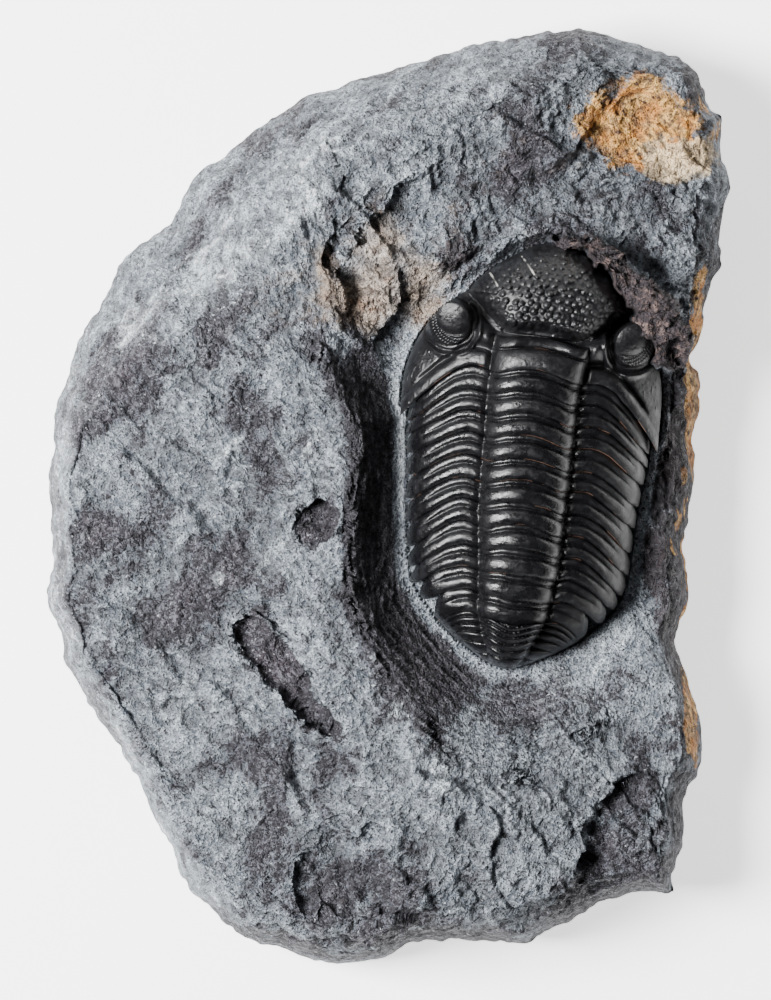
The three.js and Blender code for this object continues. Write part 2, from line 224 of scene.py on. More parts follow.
def thorax_height(x, y):
    """The body without its plates' relief: a raised axis on broader arched flanks."""
    wide = np.maximum(body_half_width(y), 0.01)
    across = clamp(np.abs(x) / wide, 0, 1)
    crest = body_crest(y)
    ax = axis_half_width(y)
    pleura = PLEURA_SHARE * crest * np.sqrt(1 - across ** 3)
    on = clamp(np.abs(x) / ax, 0, 1)
    z = pleura + (1 - PLEURA_SHARE) * crest * 1.12 * (1 - on ** 2.5) ** 0.58
    z = z - 0.4 * np.exp(-(((np.abs(x) - ax) / 0.8) ** 2)) * towards_tail(y, 6)
    return z


def glabella_out(x, y):
    """1 on the glabella's outline, which is kite shaped with its widest place near its middle."""
    back = clamp((y - GLABELLA_BACK_Y) / (GLABELLA_Y - GLABELLA_BACK_Y), 0, 1)
    half = mix(GLABELLA_BACK_HALF_WIDTH, GLABELLA_HALF_WIDTH, back)
    front = clamp((y - GLABELLA_Y) / GLABELLA_LENGTH, 0, 1)
    across = np.sqrt((np.abs(x) / half) ** 2 + 0.004)
    return across ** GLABELLA_POWER + front ** GLABELLA_POWER


def cheek_out(x, y):
    """0 at the cheeks' middle and 1 at their outline."""
    ahead = clamp((y - CHEEK_Y) / CHEEK_LENGTH, 0, 1)
    across = (np.abs(x) / CHEEK_HALF_WIDTH) ** CHEEK_SIDE_POWER
    return clamp(across + ahead ** CHEEK_FRONT_POWER, 0, 1)


def head_front_y(x):
    """The head's front outline: the cheeks' or the glabella's, whichever is farther forward."""
    far = np.abs(x)
    share = clamp(1 - (far / CHEEK_HALF_WIDTH) ** CHEEK_SIDE_POWER, 0, 1)
    cheek = CHEEK_Y + CHEEK_LENGTH * share ** (1 / CHEEK_FRONT_POWER)
    share = clamp(1 - (far / GLABELLA_HALF_WIDTH) ** GLABELLA_POWER, 0, 1)
    arc = share ** (1 / GLABELLA_POWER)
    arc = arc - 0.06 * np.exp(-((far / 2.5) ** 2))
    glabella = np.where(far < GLABELLA_HALF_WIDTH, GLABELLA_Y + GLABELLA_LENGTH * arc, -99)
    return np.maximum(cheek, glabella)


def tip_x(i):
    """How far out the tips of segment i are."""
    return float(body_half_width(np.float64(THORAX_FRONT_Y - (i - 0.2) * RING_PITCH - SWEEPS[i] * 0.9)))


def edge_y(i, x):
    """The joint line behind plate i, where plate 0 is the head: waved in the middle, swept back outside."""
    far = np.abs(x)
    beyond = clamp((far / tip_x(i) - FULCRUM_SHARE) / (1 - FULCRUM_SHARE), 0, 1.25)
    line = THORAX_FRONT_Y - i * RING_PITCH
    ax = axis_half_width(line)
    middle = 0.9 - 2.9 * float(smooth(6.5, 11.5, np.float64(i)))
    wave = middle * np.exp(-((x / 5.0) ** 2)) - 0.65 * np.exp(-(((far - 0.85 * ax) / 2.4) ** 2))
    wave = wave + 0.3 * np.exp(-(((far - 16) / 3.6) ** 2))
    wave = wave + 0.28 * noise(x, x * 0 + 31.0 * i, x * 0, 6.0, 7)
    wave = wave + 0.10 * noise(x, x * 0 + 17.0 * i, x * 0, 1.7, 8)
    return line - SWEEPS[i] * beyond ** 1.5 + wave


def arch(w, a, b, power=2.0):
    """A rounded band between a and b: 0 at its edges, 1 in its middle."""
    s = clamp(np.abs(2 * (w - a) / (b - a) - 1), 0, 1)
    return (1 - s ** power) ** 0.62


# ---------------------------------------------------------------- meshes
def tilt_z(x, y, z):
    """Height over the floor: the animal lies a little rolled and pitched."""
    return MARGIN_Z + ROLL * x + PITCH * y + z


def grid_faces(cols, rows, start, flip=False):
    """The quads of a grid of vertices whose first one has the number start."""
    c, r = np.meshgrid(np.arange(cols), np.arange(rows))
    a = start + (r * (cols + 1) + c).ravel()
    quads = np.stack([a, a + 1, a + cols + 2, a + cols + 1], 1)
    return quads[:, ::-1] if flip else quads


def make_object(name, verts, faces, attributes):
    """A smooth mesh object. Faces come in clockwise as seen from outside, and are turned over here."""
    faces = faces[:, ::-1]
    mesh = bpy.data.meshes.new(name)
    mesh.vertices.add(len(verts))
    mesh.vertices.foreach_set("co", np.asarray(verts, np.float32).ravel())
    mesh.loops.add(faces.size)
    mesh.loops.foreach_set("vertex_index", faces.ravel().astype(np.int32))
    mesh.polygons.add(len(faces))
    sides = faces.shape[1]
    mesh.polygons.foreach_set("loop_start", np.arange(len(faces), dtype=np.int32) * sides)
    mesh.update(calc_edges=True)
    mesh.validate()
    mesh.polygons.foreach_set("use_smooth", np.ones(len(mesh.polygons), dtype=bool))
    for key, values in attributes.items():
        layer = mesh.attributes.new(key, "FLOAT", "POINT")
        layer.data.foreach_set("value", np.asarray(values, np.float32).ravel())
    obj = bpy.data.objects.new(name, mesh)
    bpy.context.scene.collection.objects.link(obj)
    return obj


def place(x, y, z):
    """From the animal's frame to the block's, in metres."""
    c, s = math.cos(TURN), math.sin(TURN)
    x = x + bend(y)
    return np.stack([ORIGIN[0] + x * c - y * s, ORIGIN[1] + x * s + y * c, tilt_z(x, y, z)], -1) * MM


def plate(name, x, y, z, thick, attributes):
    """A closed plate: the grid x, y, z is its top, and its underside lies thick lower."""
    rows, cols = x.shape[0] - 1, x.shape[1] - 1
    top = place(x, y, z).reshape(-1, 3)
    low = place(x, y, z - thick).reshape(-1, 3)
    n = len(top)
    faces = [grid_faces(cols, rows, 0), grid_faces(cols, rows, n, flip=True)]
    idx = np.arange(n).reshape(rows + 1, cols + 1)
    loop = np.concatenate([idx[0, :], idx[1:, -1], idx[-1, -2::-1], idx[-2:0:-1, 0]])
    nxt = np.roll(loop, -1)
    faces.append(np.stack([loop, loop + n, nxt + n, nxt], 1))
    both = {k: np.concatenate([v.ravel(), v.ravel()]) for k, v in attributes.items()}
    return make_object(name, np.concatenate([top, low]), np.concatenate(faces), both)


# ---------------------------------------------------------------- thorax
def spread(cols, share):
    """Values from -1 to 1 that lie closer together near both ends."""
    turn = (np.linspace(0, 1, cols + 1) - 0.5) * math.pi * share
    return np.sin(turn) / math.sin(share / 2 * math.pi)


def segment_grid(i, cols, rows):
    """x and y of a plate's grid, its share of the way from front to back, and of the way out."""
    u = spread(cols, 0.97)
    w = np.linspace(0, 1, rows + 1)[:, None]
    reach = tip_x(i) + 0.3
    round_tip = 1 - 0.075 * np.abs(2 * w - 0.9) ** 2.6 * np.abs(u) ** 10
    x = u[None, :] * reach * round_tip
    front = edge_y(i - 1, x) - 0.02
    rear = edge_y(i, x) - 0.25
    y = mix(front, rear, w)
    return x, y, np.broadcast_to(w, x.shape), np.broadcast_to(np.abs(u)[None, :], x.shape)


def segment_relief(i, x, w, far):
    """The bands of a plate: two rings on the axis, and two ribs on each flank that meet at its tip."""
    ax = axis_half_width(THORAX_FRONT_Y - (i - 0.5) * RING_PITCH)
    axis = 1 - smooth(ax - 0.5, ax + 0.5, np.abs(x))
    vary = 1 + 0.18 * noise(x, x * 0 + 9.0 * i, x * 0, 7.0, 15)
    rear_ring = (1.45 + 0.35 * w) * vary * arch(w, 0.29, 1.03, 2.6)
    ring = np.maximum(0.75 * arch(w, 0.0, 0.27), rear_ring)
    front_band = arch(w, 0.02, 0.45)
    rear_band = (1.45 + 0.2 * w) * arch(w, 0.42, 1.03, 2.2)
    pleura = np.maximum(front_band, rear_band) * vary
    lobe = 1.7 * arch(w, -0.12, 1.04, 2.6)
    at_tip = smooth(0.70, 0.93, far)
    pleura = mix(pleura, lobe, at_tip)
    relief = mix(pleura, ring, axis) - 1.1
    relief = relief + (w - 0.5) * 0.9 * smooth(0.5, 0.9, far)
    return relief - 1.05 * smooth(0.93, 1.0, far)


def build_segment(i):
    cols, rows = ((340, 40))
    x, y, w, far = segment_grid(i, cols, rows)
    z = thorax_height(x, y) + segment_relief(i, x, w, far)
    z = z + 0.10 * fbm(x, y, z, 3.0, 40 + i, 3) + 0.05 * fbm(x, y * 3, z, 0.8, 60 + i, 2)
    joint = np.exp(-((w / 0.045) ** 2)) + np.exp(-(((1 - w) / 0.035) ** 2))
    joint = joint * smooth(0.05, 0.4, noise(x, y, z, 4.0, 90 + i) + 0.25 * noise(x, y, z, 0.9, 95))
    side = smooth(0.45, 0.85, far) * smooth(0, 8, x)
    masks = {"joint": joint, "tip": side, "vein": joint * 0}
    return plate("thorax_%02d_shell" % i, x, y, z, SHELL_THICKNESS, masks)


# ---------------------------------------------------------------- tail
def rings_behind(back, count, fade):
    """How many rings lie between the tail's front and a place back mm behind it, out of count."""
    return count * (1 - np.exp(-clamp(back, 0, 14) / fade)) / (1 - math.exp(-12 / fade))


def build_tail():
    cols, rows = ((300, 130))
    u = spread(cols, 0.97)
    v = np.sin(np.linspace(0, 1, rows + 1) * math.pi / 2)[:, None]
    reach = tip_x(SEGMENTS) + 0.1
    x = np.broadcast_to(u[None, :] * reach, (rows + 1, cols + 1))
    front = edge_y(SEGMENTS, x) - 0.02
    rear = np.interp(np.abs(x), HALF_WIDTHS, STATIONS)
    rear = np.minimum(rear, front - 0.8)
    y = mix(front, rear, v)
    z = thorax_height(x, y)
    start = THORAX_FRONT_Y - SEGMENTS * RING_PITCH
    back = start - y
    ax = axis_half_width(y)
    axis = 1 - smooth(ax - 0.4, ax + 0.4, np.abs(x))
    # rings get closer towards the tip, and bend back in their middle
    ring_y = back - 1.9 * np.exp(-((x / 4.0) ** 2)) * (1 - smooth(7, 12, back)) + 0.5
    ring_at = rings_behind(ring_y, 7.2, 9.0)
    ring_share = ring_at % 1.0
    rib_y = back - 0.06 * (np.abs(x) - ax) - 3.2 * smooth(0.5, 1.05, np.abs(x) / reach) ** 1.5
    rib_at = rings_behind(rib_y, 6.0, 10.0)
    ring_relief = 1.9 * arch(ring_share, 0.0, 1.0, 2.0) * (1 - 0.45 * smooth(5, 8, ring_at))
    rib_relief = 1.6 * arch(rib_at % 1.0, 0.0, 1.0, 2.2) * (1 - smooth(4.6, 6.0, rib_at))
    rib_relief = rib_relief * (1 - smooth(0.82, 0.96, np.abs(x) / np.maximum(body_half_width(y), 0.1)))
    relief = mix(rib_relief, ring_relief, axis) - 0.9
    crown = clamp(1 - (np.abs(x) / np.maximum(ax, 0.1)) ** 2, 0, 1) ** 0.7
    relief = relief + 2.4 * axis * towards_tail(y, 3) * crown
    z = z + relief + 0.08 * fbm(x, y, z, 2.5, 140, 3)
    joint = np.exp(-((ring_share / 0.09) ** 2)) * axis * 0.5 + np.exp(-(((y - front) / 0.2) ** 2))
    joint = joint * smooth(0.1, 0.5, noise(x, y, z, 3.0, 190))
    masks = {"joint": joint, "tip": smooth(4, 12, x), "vein": joint * 0}
    return plate("tail_shell", x, y, z, SHELL_THICKNESS, masks)


# ---------------------------------------------------------------- head
def tubercles(x, y):
    """Coarse rounded tubercles in a jittered hexagonal array, larger towards the back."""
    z = np.zeros(x.shape)
    for row in range(-2, 18):
        for col in range(-13, 14):
            k = np.array([row + 50]), np.array([col + 50]), np.array([7])
            jx, jy, jr = (float(lattice(*k, 500 + s)[0]) * 2 - 1 for s in range(3))
            cx = (col + 0.5 * (row % 2)) * TUBERCLE_PITCH + 0.34 * jx
            cy = 21.2 + row * TUBERCLE_PITCH * 0.87 + 0.30 * jy
            out = float(glabella_out(np.float64(cx), np.float64(cy)))
            if out > 0.97 or cy < GLABELLA_BACK_Y + 0.4:
                continue
            radius = (0.68 + 0.16 * jr) * mix(1.18, 0.82, clamp((cy - 24) / 15, 0, 1))
            near = (np.abs(x - cx) < radius) & (np.abs(y - cy) < radius)
            d2 = ((x[near] - cx) ** 2 + (y[near] - cy) ** 2) / radius ** 2
            high = 0.92 * radius * (0.9 + 0.35 * jr)
            z[near] = np.maximum(z[near], high * clamp(1 - d2, 0, 1) ** 0.8)
    return z


def segment_distance(x, y, ax, ay, bx, by):
    """How far each point is from the straight line between (ax, ay) and (bx, by)."""
    dx, dy = bx - ax, by - ay
    t = clamp(((x - ax) * dx + (y - ay) * dy) / (dx * dx + dy * dy), 0, 1)
    return np.hypot(x - ax - t * dx, y - ay - t * dy)


def eye_form(x, y, cx, cy, turn):
    """Height of the eye's turret and of its lid, and the mask of its lens face."""
    side = math.copysign(1.0, cx)
    c, s = math.cos(turn), math.sin(turn)
    ex = ((x - cx) * c + (y - cy) * s) * side
    ey = (y - cy) * c - (x - cx) * s
    out = np.sqrt((ex / 5.0) ** 2 + (ey / 5.3) ** 2)
    # the lid is a smooth lobe on the inner side; the lens face wraps round its outer side
    lobe = np.hypot((ex + 1.4) / 3.4, (ey - 1.3) / 3.7)
    top = 14.4 - 0.34 * ex + 0.10 * ey
    lid = top - 0.9 * lobe ** 2 - 0.9 * smooth(0.8, 1.4, lobe)
    face_top = top - 1.2 - 0.35 * np.maximum(ex, -1) - 0.09 * ex ** 2 - 0.05 * ey ** 2
    dome = soft_max(lid, face_top, 0.8) - 9.5 * smooth(0.78, 1.10, out) ** 1.4
    crease = np.exp(-(((lobe - 1.12) / 0.09) ** 2)) * (1 - smooth(0.8, 1.0, out))
    dome = dome - 0.25 * crease * smooth(-0.8, 0.6, ex - 0.5 * ey)
    face = smooth(1.10, 1.22, lobe) * (1 - smooth(0.95, 1.03, out)) * smooth(-1.6, -0.4, ex)
    angle = np.arctan2(ey, ex + 2.0)
    radius = np.hypot(ex + 2.0, ey)
    odd = np.floor(radius / LENS_PITCH).astype(np.int64) % 2
    lx = (angle * 6.4 / 0.74 + 0.5 * odd) % 1.0 - 0.5
    ly = (radius / LENS_PITCH) % 1.0 - 0.5
    lens = clamp(1 - (lx ** 2 + ly ** 2) * 4.6, 0, 1) ** 0.6
    dome = dome + 0.34 * lens * face
    # a ridge wraps round the turret's foot behind it and inside it
    behind = 1 - smooth(-0.5, 0.5, 0.75 * ey / 5.3 + 0.55 * ex / 5.0)
    wave = 0.05 * noise(x, y, x * 0, 2.5, 330)
    ridge = 1.1 * np.exp(-(((out - 1.26 + wave) / 0.11) ** 2)) * behind
    moat = -0.8 * np.exp(-(((out - 1.08 + wave) / 0.08) ** 2))
    return dome, ridge + moat, face


def build_head():
    cols, rows = ((430, 380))
    u = spread(cols, 0.94)
    v = (spread(rows, 0.86)[:, None] + 1) / 2
    x = np.broadcast_to(u[None, :] * (CHEEK_HALF_WIDTH - 0.3), (rows + 1, cols + 1))
    rear = edge_y(0, x) - 0.25
    front = np.maximum(head_front_y(x), rear + 0.8)
    y = mix(rear, front, v)
    far = np.abs(x)
    out = cheek_out(x, y)
    z = 0.80 * CREST * (1 - out) ** 0.56
    # cheek: raised border behind and outside, with a furrow inside it
    from_rear = y - rear
    border = 1.3 * arch(from_rear, -0.4, 3.4, 2.2) * smooth(9.0, 11.0, far) * (1 - smooth(0.985, 1.0, out))
    furrow = np.exp(-(((from_rear - 4.0) / 0.75) ** 2)) * smooth(9.5, 11.5, far)
    furrow = -1.3 * furrow * (1 - smooth(22.0, 25.5, far))
    z = z + border + furrow
    # occipital ring and the narrow ring before it
    ring = clamp(1 - (far / 9.8) ** 2.6, 0, 1) ** 0.5
    wave = 0.5 * np.exp(-((x / 4.2) ** 2)) - 0.6 * np.exp(-(((far - 8.3) / 2.6) ** 2))
    yr = y - wave
    band = (4.6 + 1.4 * arch(yr, 14.2, 19.0, 2.4)) * (1 - smooth(18.7, 19.3, yr))
    narrow = (3.2 + 1.2 * arch(yr, 19.2, 21.6, 2.2)) * smooth(18.9, 19.5, yr) * (1 - smooth(21.4, 22.0, yr))
    narrow = narrow * (0.8 + 0.35 * np.exp(-(((far - 6.0) / 2.2) ** 2)))
    z = z + (band + narrow) * ring
    z = z - 1.0 * np.exp(-(((far - 9.9) / 0.8) ** 2)) * (1 - smooth(20, 23, y))
    # glabella
    lobe = 4.2 * bump(x, y, 11.6, 21.8, 4.6, 2.7, 0.75) + 2.6 * bump(x, y, -12.4, 21.4, 3.6, 2.2, -0.6)
    z = z + lobe * (1 - smooth(0.9, 1.0, out))
    g_out = glabella_out(x, y)
    crown = (CREST + 1.8) * (1 - 0.30 * (x / 17.0) ** 2 - 0.62 * clamp((y - 27) / 16.4, 0, 1) ** 2.2)
    body = crown * (1 - clamp(g_out, 0, 1) ** 5) ** 0.5
    rise = smooth(GLABELLA_BACK_Y - 0.1, GLABELLA_BACK_Y + 2.4, y - 0.9 * np.exp(-((x / 4.5) ** 2)))
    body = body * (0.76 + 0.24 * rise) * smooth(GLABELLA_BACK_Y - 0.9, GLABELLA_BACK_Y + 0.3, y)
    moat = np.exp(-(((np.sqrt(g_out) - 1.05) / 0.05) ** 2)) * smooth(21.5, 23, y)
    z = z - 0.9 * moat * (g_out > 0.9)
    z = soft_max(z, body, 0.35)
    bare = 0.04 * (1 - smooth(-12, -6, x))
    on_glabella = 1 - smooth(0.93, 1.0, g_out + bare)
    on_glabella = on_glabella * smooth(GLABELLA_BACK_Y, GLABELLA_BACK_Y + 0.8, y)
    z = z + tubercles(x, y) * on_glabella
    lenses = np.zeros(x.shape)
    for cx, cy, turn in EYES:
        dome, rim, face = eye_form(x, y, cx, cy, turn)
        z = soft_max(z + rim * (1 - smooth(0.9, 1.0, out)), dome, 0.3)
        lenses = np.maximum(lenses, face)
    z = z + 0.10 * fbm(x, y, z, 3.0, 240, 3) + 0.05 * fbm(x, y, z, 0.7, 260, 2)
    # coarse granules on the cheeks
    pits = clamp(noise(x, y, z, 0.7, 280) - 0.25, 0, 1)
    z = z + 0.28 * pits * smooth(19, 24, far) * (1 - smooth(0.9, 1, out)) * (1 - lenses)
    veins = np.zeros(x.shape)
    wobble = 0.14 * noise(x, y, z, 1.6, 300)
    for ax, ay, bx, by in VEINS:
        away = segment_distance(x, y, ax, ay, bx, by) + wobble
        veins = np.maximum(veins, np.exp(-((away / 0.15) ** 2)))
    joint = np.exp(-((from_rear / 0.16) ** 2)) * smooth(0.1, 0.5, noise(x, y, z, 4.0, 310))
    before_ring = np.exp(-(((yr - 19.3) / 0.14) ** 2)) * (far < 8)
    joint = joint + 0.8 * before_ring * smooth(0.0, 0.4, noise(x, y, z, 3.0, 311))
    # the grid runs forward here and backward in the other plates, so its rows are turned round
    x, y, z, joint, veins = (a[::-1] for a in (x, y, z, joint, veins))
    masks = {"joint": joint, "tip": smooth(20, 24, x), "vein": veins}
    return plate("head_shell", x, y, z, HEAD_THICKNESS, masks)


def find_origin():
    """Where the animal lies on the block, from the CAD box of its middle segment."""
    x, y, _, _ = segment_grid(6, 60, 8)
    lo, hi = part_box("thorax_segment_06")
    c, s = math.cos(TURN), math.sin(TURN)
    px, py = x * c - y * s, x * s + y * c
    ox = (lo[0] + hi[0]) / 2 / MM - (px.min() + px.max()) / 2
    oy = (lo[1] + hi[1]) / 2 / MM - (py.min() + py.max()) / 2
    return ox, oy


ORIGIN = find_origin()

# ---------------------------------------------------------------- the block
# the rim's points: x, y, the rim's height, and the width of the slope that climbs from it
RIM = np.array([
    [36, 99.5, 18, 12], [40, 99.6, 18, 10], [46.5, 98.5, 18, 9], [53, 96.6, 18, 8], [60.4, 93.7, 19, 7],
    [64.4, 91, 20, 5], [66.5, 87.4, 20, 5], [67.7, 83, 20, 5], [70.1, 80.6, 20, 5], [70.3, 74, 20, 5],
    [72.4, 67.3, 20, 5], [70.8, 62, 20, 6], [69.9, 55.2, 18, 6], [70.6, 50, 17, 7], [68.4, 46, 16, 8],
    [67.1, 39.2, 15, 8], [65.8, 33.5, 14, 9], [63.9, 30, 13, 9], [65.8, 25.8, 12, 9],
    [65.9, 20.4, 12, 9], [64.4, 12.4, 11, 10], [65.2, 8.4, 11, 10], [64.3, -1.5, 11, 10],
    [62.5, -10.3, 11, 10], [63.5, -21, 12, 9], [60.8, -29.6, 13, 8], [63.1, -37.7, 14, 8],
    [66.1, -47, 15, 8], [66.5, -53.8, 15, 7], [65.6, -58.4, 15, 7], [63.1, -62.5, 15, 6],
    [62.5, -68.5, 15, 5], [62.1, -74, 15, 5], [60.1, -80, 14, 4], [59.8, -83.6, 13, 4],
    [53.1, -83.4, 12, 5], [49.7, -84.2, 12, 6], [44.4, -86.5, 11, 7], [39, -89.9, 11, 8],
    [32.9, -92.6, 10, 9], [29.5, -94.9, 10, 9], [22.9, -94.3, 10, 9], [18.2, -93.9, 10, 9],
    [11.5, -94.3, 10, 9], [4.1, -94.9, 10, 10], [-0.7, -97.7, 10, 10], [-4.7, -98.7, 10, 10],
    [-11.4, -99.3, 10, 10], [-18.1, -97.7, 11, 9], [-24.8, -95.3, 11, 9], [-30.2, -93.7, 12, 8],
    [-34.9, -89.9, 12, 7], [-39.5, -85.9, 13, 6], [-42.9, -82.5, 13, 6], [-45.2, -77.3, 14, 6],
    [-46.3, -73.2, 14, 6], [-50.3, -67.2, 14, 6], [-53, -60.5, 15, 6], [-57, -53.1, 15, 6],
    [-61.7, -46.4, 15, 6], [-65, -41.1, 16, 6], [-68.1, -35.7, 16, 5], [-70, -28.4, 17, 5],
    [-72.1, -23.3, 17, 5], [-72.4, -19.6, 18, 5], [-71.3, -13.7, 18, 5], [-71.7, -0.2, 18, 5],
    [-71.9, 4.4, 18, 5], [-71, 11.1, 18, 6], [-70.9, 17, 17, 8], [-70, 21.8, 17, 10],
    [-67.7, 27.8, 16, 12], [-65.7, 35.2, 15, 16], [-61.7, 41.2, 14, 20], [-58.3, 47.9, 14, 23],
    [-54.2, 52.9, 14, 25], [-50.3, 55.7, 14, 26], [-46.9, 58.6, 14, 26], [-43.5, 64.7, 14, 26],
    [-40.6, 68.8, 14, 26], [-34.3, 73.3, 14, 25], [-30.9, 76.7, 14, 24], [-24.8, 81.4, 15, 23],
    [-21.1, 84.2, 15, 22], [-17.5, 86.2, 15, 21], [-11.4, 87, 16, 20], [-4.7, 89.9, 16, 18],
    [2.9, 91.8, 17, 17], [11.5, 94.5, 17, 16], [18.2, 96.4, 18, 15], [26.3, 97.8, 18, 14],
    [31, 99, 18, 13],
], dtype=float)
# the middle that the block's rings of vertices close on, and how far the side walls draw in below
CENTRE = np.array([18.0, 4.0])
BASE_SCALE = 0.9
BASE_RINGS = np.array([0.75, 0.5, 0.25])
RIM_SAMPLES = 280


def closed_spline(points, count):
    """A Catmull-Rom curve through closed points, resampled evenly by length."""
    n = len(points)
    out = []
    for k in range(n):
        p0, p1, p2, p3 = (points[(k + j - 1) % n] for j in range(4))
        t = np.linspace(0, 1, 24, endpoint=False)[:, None]
        out.append(0.5 * ((2 * p1) + (p2 - p0) * t + (2 * p0 - 5 * p1 + 4 * p2 - p3) * t ** 2
                          + (3 * p1 - p0 - 3 * p2 + p3) * t ** 3))
    out = np.concatenate(out)
    step = np.hypot(*(np.roll(out, -1, 0) - out)[:, :2].T)
    at = np.concatenate([[0], np.cumsum(step)])
    want = np.linspace(0, at[-1], count, endpoint=False)
    ring = np.concatenate([out, out[:1]])
    return np.stack([np.interp(want, at, ring[:, c]) for c in range(points.shape[1])], 1)


def nearest_on(line, x, y, closed=True):
    """Distance from each point to a line of points, and the index it is nearest to."""
    best = np.full(x.shape, 1e9)
    index = np.zeros(x.shape)
    n = len(line)
    for k in range(n if closed else n - 1):
        a, b = line[k], line[(k + 1) % n]
        dx, dy = b[0] - a[0], b[1] - a[1]
        t = clamp(((x - a[0]) * dx + (y - a[1]) * dy) / (dx * dx + dy * dy + 1e-12), 0, 1)
        d = np.hypot(x - a[0] - t * dx, y - a[1] - t * dy)
        near = d < best
        best = np.where(near, d, best)
        index = np.where(near, k + t, index)
    return best, index


def to_body(bx, by):
    """From the block's frame to the animal's."""
    dx, dy = bx - ORIGIN[0], by - ORIGIN[1]
    c, s = math.cos(TURN), math.sin(TURN)
    y = dy * c - dx * s
    return dx * c + dy * s - bend(y), y


def body_outline():
    """The animal's outline in its own frame: head, right side, left side."""
    xs = np.sin(np.linspace(-0.5, 0.5, 41) * math.pi) * CHEEK_HALF_WIDTH
    top = np.stack([xs, head_front_y(xs)], 1)
    ys = mix(4.0, TAIL_Y, np.sin(np.linspace(0, 1, 41) * math.pi / 2))[1:]
    right = np.stack([body_half_width(ys), ys], 1)
    left = right[::-1] * [-1, 1]
    return np.concatenate([top, right, left[1:]])


OUTLINE = body_outline()
# how steep the hollow is in each direction from the animal: degrees from its right, and slope
WALLS = [
    (-180, 1.45), (-160, 1.5), (-140, 1.35), (-120, 1.0), (-100, 0.7), (-80, 0.4), (-60, 0.15),
    (-40, 0.03), (-20, -0.05), (0, -0.12), (20, -0.05), (36, 0.2), (48, 1.2), (60, 3.0), (80, 4.0),
    (100, 3.5), (118, 1.6), (130, 0.7), (150, 0.5), (166, 0.7), (180, 1.45),
]


def body_signed(x, y):
    """Distance from the animal's outline, negative inside it."""
    d, _ = nearest_on(OUTLINE, x, y)
    inside_head = (y > 4) & (y < head_front_y(x)) & (np.abs(x) < CHEEK_HALF_WIDTH)
    inside_rest = (y <= 4) & (y > TAIL_Y) & (np.abs(x) < body_half_width(y))
    return np.where(inside_head | inside_rest, -d, d)


def core_height(x, y):
    """The stone that fills the animal under its shell."""
    head = clamp((y - CHEEK_Y) / (GLABELLA_Y + GLABELLA_LENGTH - CHEEK_Y), 0, 9)
    tail = clamp((WIDEST_Y - y) / (WIDEST_Y - TAIL_Y), 0, 9)
    return PLEURA_SHARE * CREST * (1 - (x / HALF_WIDTH) ** 2 - head ** 3 - tail ** 3)


# two cracks and the scarp between them, left of the head
LONG_CRACK = np.array([[-1.5, 62.5], [-4, 58], [-9, 52.5], [-12.4, 49.3]])
SHORT_CRACK = np.array([[-9, 40.5], [-8.0, 36], [-4.5, 28.5]])
SCARP_Y = [10, 20, 28.5, 36, 40.5, 49.3, 52.5, 58, 62.5, 68]
SCARP_X = [-9.5, -7.5, -5, -8, -9, -12, -9, -4, -1, 5]
# the crust that is left round the head's front right: x, y, its half width and its height
CRUST = np.array([
    [35, 53.6, 1.2, 8.0], [41.5, 52.6, 2.5, 11.0], [47.8, 48.7, 4.0, 14.0], [52.2, 43.2, 5.0, 15.0],
    [55.8, 37.4, 5.8, 15.0], [59.0, 33, 5.8, 13.5], [59.5, 29.8, 4.4, 10.0],
])
# dark patches of the face: x, y, two radii and a turn; the long one along the bottom edge, at (2, -92),
# darkens the stone under the ridge there as painted shade
DARK_PATCHES = [
    (-60, 26, 6, 13, -0.5), (-44, -27, 9, 10, 0.4), (-22, 9, 9, 13, 0.4), (-59, -8, 6, 5, 0),
    (2, -92, 26, 5, 0), (-11, 43, 5, 8, 0.5),
]
LIGHT_STREAK = np.array([[-57, 35], [-38, 47], [-18, 60], [4, 66]])


def ragged_hole(form, rag):
    """1 inside a hole whose outline is made uneven by rag, 0 well outside it."""
    return smooth(0.28, 0.62, form + rag * smooth(0.08, 0.3, form))


